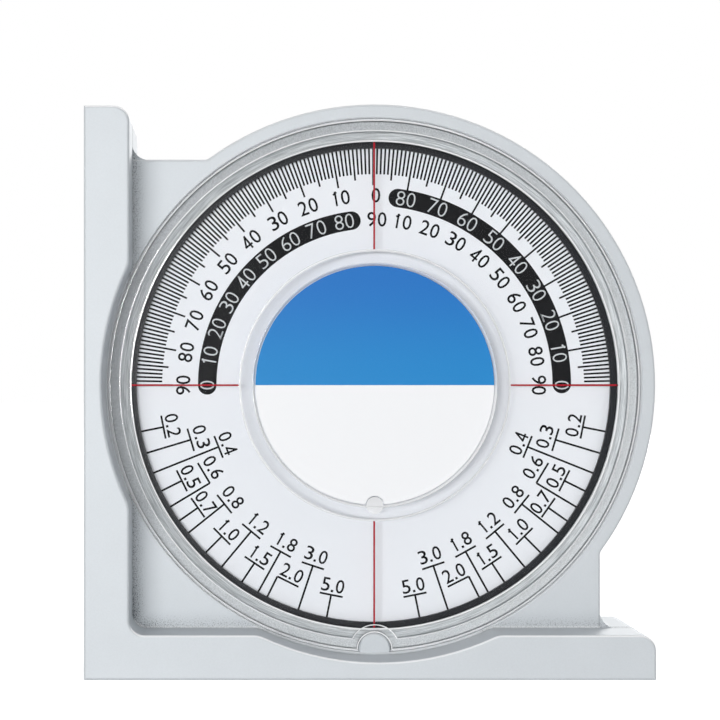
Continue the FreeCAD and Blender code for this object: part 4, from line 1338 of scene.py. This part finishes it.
@dataclass
class Dial:
    """The swinging dial: its disc, its printing, and the weight riveted behind it."""

    ink_thickness: float = 0.02 * MM
    ink_sink: float = 0.01 * MM
    over_print: float = 0.015 * MM
    angles: AngleScale = field(default_factory=AngleScale)
    slopes: SlopeScale = field(default_factory=SlopeScale)

    def build(self) -> list[bpy.types.Object]:
        """Dress the disc and the weight, and print the scales.

        Returns:
            The printed pieces.
        """
        dress("dial_disc", DialPaint())
        dress(
            "counterweight",
            RoughMetal("weight_cast", screen(150, 152, 154), screen(96, 98, 100), 0.6 * MM),
        )
        dress("weight_rivets", RoughMetal("rivet_steel", screen(214, 216, 219), screen(160, 163, 167)))
        black = Ink("ink_black", screen(15, 16, 19))
        white = Ink("ink_white", screen(216, 220, 223), 0.03)
        return [
            self.print_on(self.angles.ticks(), black),
            self.print_on(self.angles.bands(), black),
            self.print_on(self.angles.dark_numbers(), black),
            self.print_on(self.angles.light_numbers(), white, self.over_print),
            self.print_on(self.slopes.lines(), black),
            self.print_on(self.slopes.numbers(), black),
        ]

    def print_on(self, sheet: InkSheet, ink: Ink, extra: float = 0.0) -> bpy.types.Object:
        """Print a sheet on the dial's face.

        Args:
            sheet: The drawn shapes.
            ink: The ink.
            extra: How much higher it stands than plain ink.

        Returns:
            The printed piece.
        """
        low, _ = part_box("dial_disc")
        centre = middle("dial_disc")
        stand = Matrix.Translation((centre.x, low.y, centre.z)) @ Matrix.Rotation(math.pi / 2, 4, "X")
        piece = sheet.raised(stand, self.ink_thickness + extra, self.ink_sink, ink)
        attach(piece, "dial")
        LOG.info("%s is printed on the dial", piece.name)
        return piece


@dataclass
class Pivot:
    """What the dial turns on: pin, bushes, hub, washers and clip."""

    steel_light: Colour = screen(222, 224, 227)
    steel_dark: Colour = screen(168, 171, 176)

    def build(self) -> None:
        """Dress the pieces of the pivot."""
        axis = tuple(middle("pivot_pin"))
        steel = TurnedMetal("pivot_steel", axis, self.steel_light, self.steel_dark)
        for node in ("pivot_pin", "front_washer", "rear_washer", "pin_clip"):
            dress(node, steel)
        bronze = TurnedMetal("bush_bronze", axis, screen(206, 160, 104), screen(160, 112, 64))
        for node in ("front_bush", "rear_bush"):
            dress(node, bronze)
        brass = TurnedMetal("hub_brass", axis, screen(222, 194, 128), screen(180, 148, 84))
        for node in ("dial_hub", "hub_ring"):
            dress(node, brass)


@dataclass
class Window:
    """The lens with its index lines, label and seal ring."""

    def build(self) -> None:
        """Dress the pieces of the window."""
        low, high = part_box("label_disc")
        centre = tuple(middle("dial_disc"))
        key = (centre[0], 0, centre[2] - KEY_PLACE)
        dress("lens", ClearPlastic(centre=centre, key=key))
        dress("index_lines", Ink("line_red", screen(176, 20, 38), 0.12))
        dress("label_disc", LabelPrint(middle=centre[2], radius=(high.x - low.x) / 2))
        dress("seal_ring", Rubber(centre=centre))


@dataclass
class Housing:
    """The frame, its rear cover and screws, and the magnets in the V-grooves."""

    ledge_lead: float = 1.0 * MM

    def build(self) -> None:
        """Dress the pieces of the housing."""
        low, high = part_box("lens")
        centre = middle("dial_disc")
        cast = CastMetal(
            centre=(centre.x, 0, centre.z),
            key=(centre.x, 0, centre.z - KEY_PLACE),
            lens_radius=(high.x - low.x) / 2,
            seat_front=high.y - self.ledge_lead,
        )
        dress("frame_body", cast)
        dress("rear_cover", Moulding("cover_grey", screen(200, 205, 209)))
        dress("cover_screws", RoughMetal("screw_steel", screen(210, 212, 216), screen(150, 153, 158)))
        magnet = RoughMetal("magnet_dark", screen(92, 94, 98), screen(58, 60, 64), metallic=0.6)
        keeper = RoughMetal("keeper_steel", screen(200, 202, 205), screen(150, 152, 156))
        for arm in ("base", "side"):
            dress(f"{arm}_magnets", magnet)
            dress(f"{arm}_keepers", keeper)


@dataclass(frozen=True)
class Lamp:
    """A soft rectangular lamp that points at the object."""

    name: str
    place: Spot
    size: tuple[float, float]
    power: float
    target: Spot = (0, 0, 50 * MM)

    def hang(self) -> None:
        """Hang the lamp in its place and aim it."""
        light = bpy.data.lights.new(self.name, "AREA")
        light.shape = "RECTANGLE"
        light.size, light.size_y = self.size
        light.energy = self.power
        lamp = put(self.name, light)
        lamp.location = self.place
        aim = Vector(self.target) - Vector(self.place)
        lamp.rotation_euler = aim.to_track_quat("-Z", "Y").to_euler()


@dataclass
class Studio:
    """Floor, lights, world and camera."""

    floor_size: float = 8.0
    floor_grain: float = 4 * MM
    floor_colour: Colour = screen(228, 228, 228)
    white: Colour = screen(255, 255, 255)
    lamps: tuple[Lamp, ...] = (
        Lamp("front_light", (-0.38, -1.3, 0.1), (0.8, 0.16), 10),
        Lamp("top_light", (0.25, -0.5, 1.2), (0.8, 0.8), 0.6),
        Lamp("back_light", (0.5, 1.3, 0.5), (0.8, 0.8), 6),
    )
    camera_place: Spot = (-25.1 * MM, -343.5 * MM, 54 * MM)
    focal_length: float = 91.7
    shift: tuple[float, float] = (0.1715, 0.0282)
    world_strength: float = 0.4
    room_strength: float = 0.15
    room_edge: tuple[float, float] = (0.75, 0.96)
    glow: float = 0.72

    def build(self) -> None:
        """Set up everything that isn't part of the object."""
        self.world()
        self.floor()
        for lamp in self.lamps:
            lamp.hang()
        self.camera()
        bpy.context.scene.view_settings.view_transform = "Standard"

    def world(self) -> None:
        """Make a white world: bright where it is seen, plain where it lights.

        Polished faces that look at the viewer mirror the dim room in front of the object.
        """
        world = bpy.data.worlds.new("studio_world")
        bench = Bench(world)
        rays = bench.node("ShaderNodeLightPath").outputs
        mirrored = bench.sum("MAXIMUM", rays["Is Glossy Ray"], rays["Is Transmission Ray"])
        _, back, _ = bench.parts(bench.node("ShaderNodeTexCoord").outputs["Generated"])
        room = (0 - back).rise(*self.room_edge) * (1 - self.room_strength)
        mirrored = mirrored * (1 - room)
        seen = bench.sum("MAXIMUM", rays["Is Camera Ray"], mirrored)
        lighting = (1 - bench.sum("MAXIMUM", rays["Is Glossy Ray"], seen)) * self.world_strength
        strength = seen + lighting
        light = bench.node(
            "ShaderNodeBackground", inputs={"Color": self.white, "Strength": strength}
        )
        bench.node("ShaderNodeOutputWorld", inputs={"Surface": light.outputs[0]})
        bpy.context.scene.world = world

    def floor(self) -> None:
        """Lay a white floor that keeps the object's shadow."""
        shape = bmesh.new()
        bmesh.ops.create_grid(shape, x_segments=1, y_segments=1, size=self.floor_size / 2)
        mesh = finished_mesh(shape, "floor")
        bench = Bench(bpy.data.materials.new("floor_white"))
        rays = bench.node("ShaderNodeLightPath").outputs
        seen = bench.sum("MAXIMUM", rays["Is Camera Ray"], rays["Is Glossy Ray"])
        grain = bench.noise(self.floor_grain, 3.0)
        paper = bench.coat(
            base_color=bench.tint(self.floor_colour, 0.01, grain),
            roughness=0.9,
            specular=0.0,
            emission_color=self.white,
            emission_strength=seen * self.glow,
        )
        mesh.materials.append(bench.done(paper))
        put("floor", mesh)

    def camera(self) -> None:
        """Set the camera in front of the object, level and square to the dial."""
        data = bpy.data.cameras.new("camera")
        data.lens = self.focal_length
        data.shift_x, data.shift_y = self.shift
        camera = put("camera", data)
        camera.location = self.camera_place
        camera.rotation_euler = (math.pi / 2, 0, 0)
        bpy.context.scene.camera = camera


def main() -> None:
    """Build the looks, one sub-assembly after the other."""
    logging.basicConfig(level=logging.INFO, format="%(message)s")
    Housing().build()
    Window().build()
    Pivot().build()
    Dial().build()
    Studio().build()


if __name__ == "__main__":
    main()
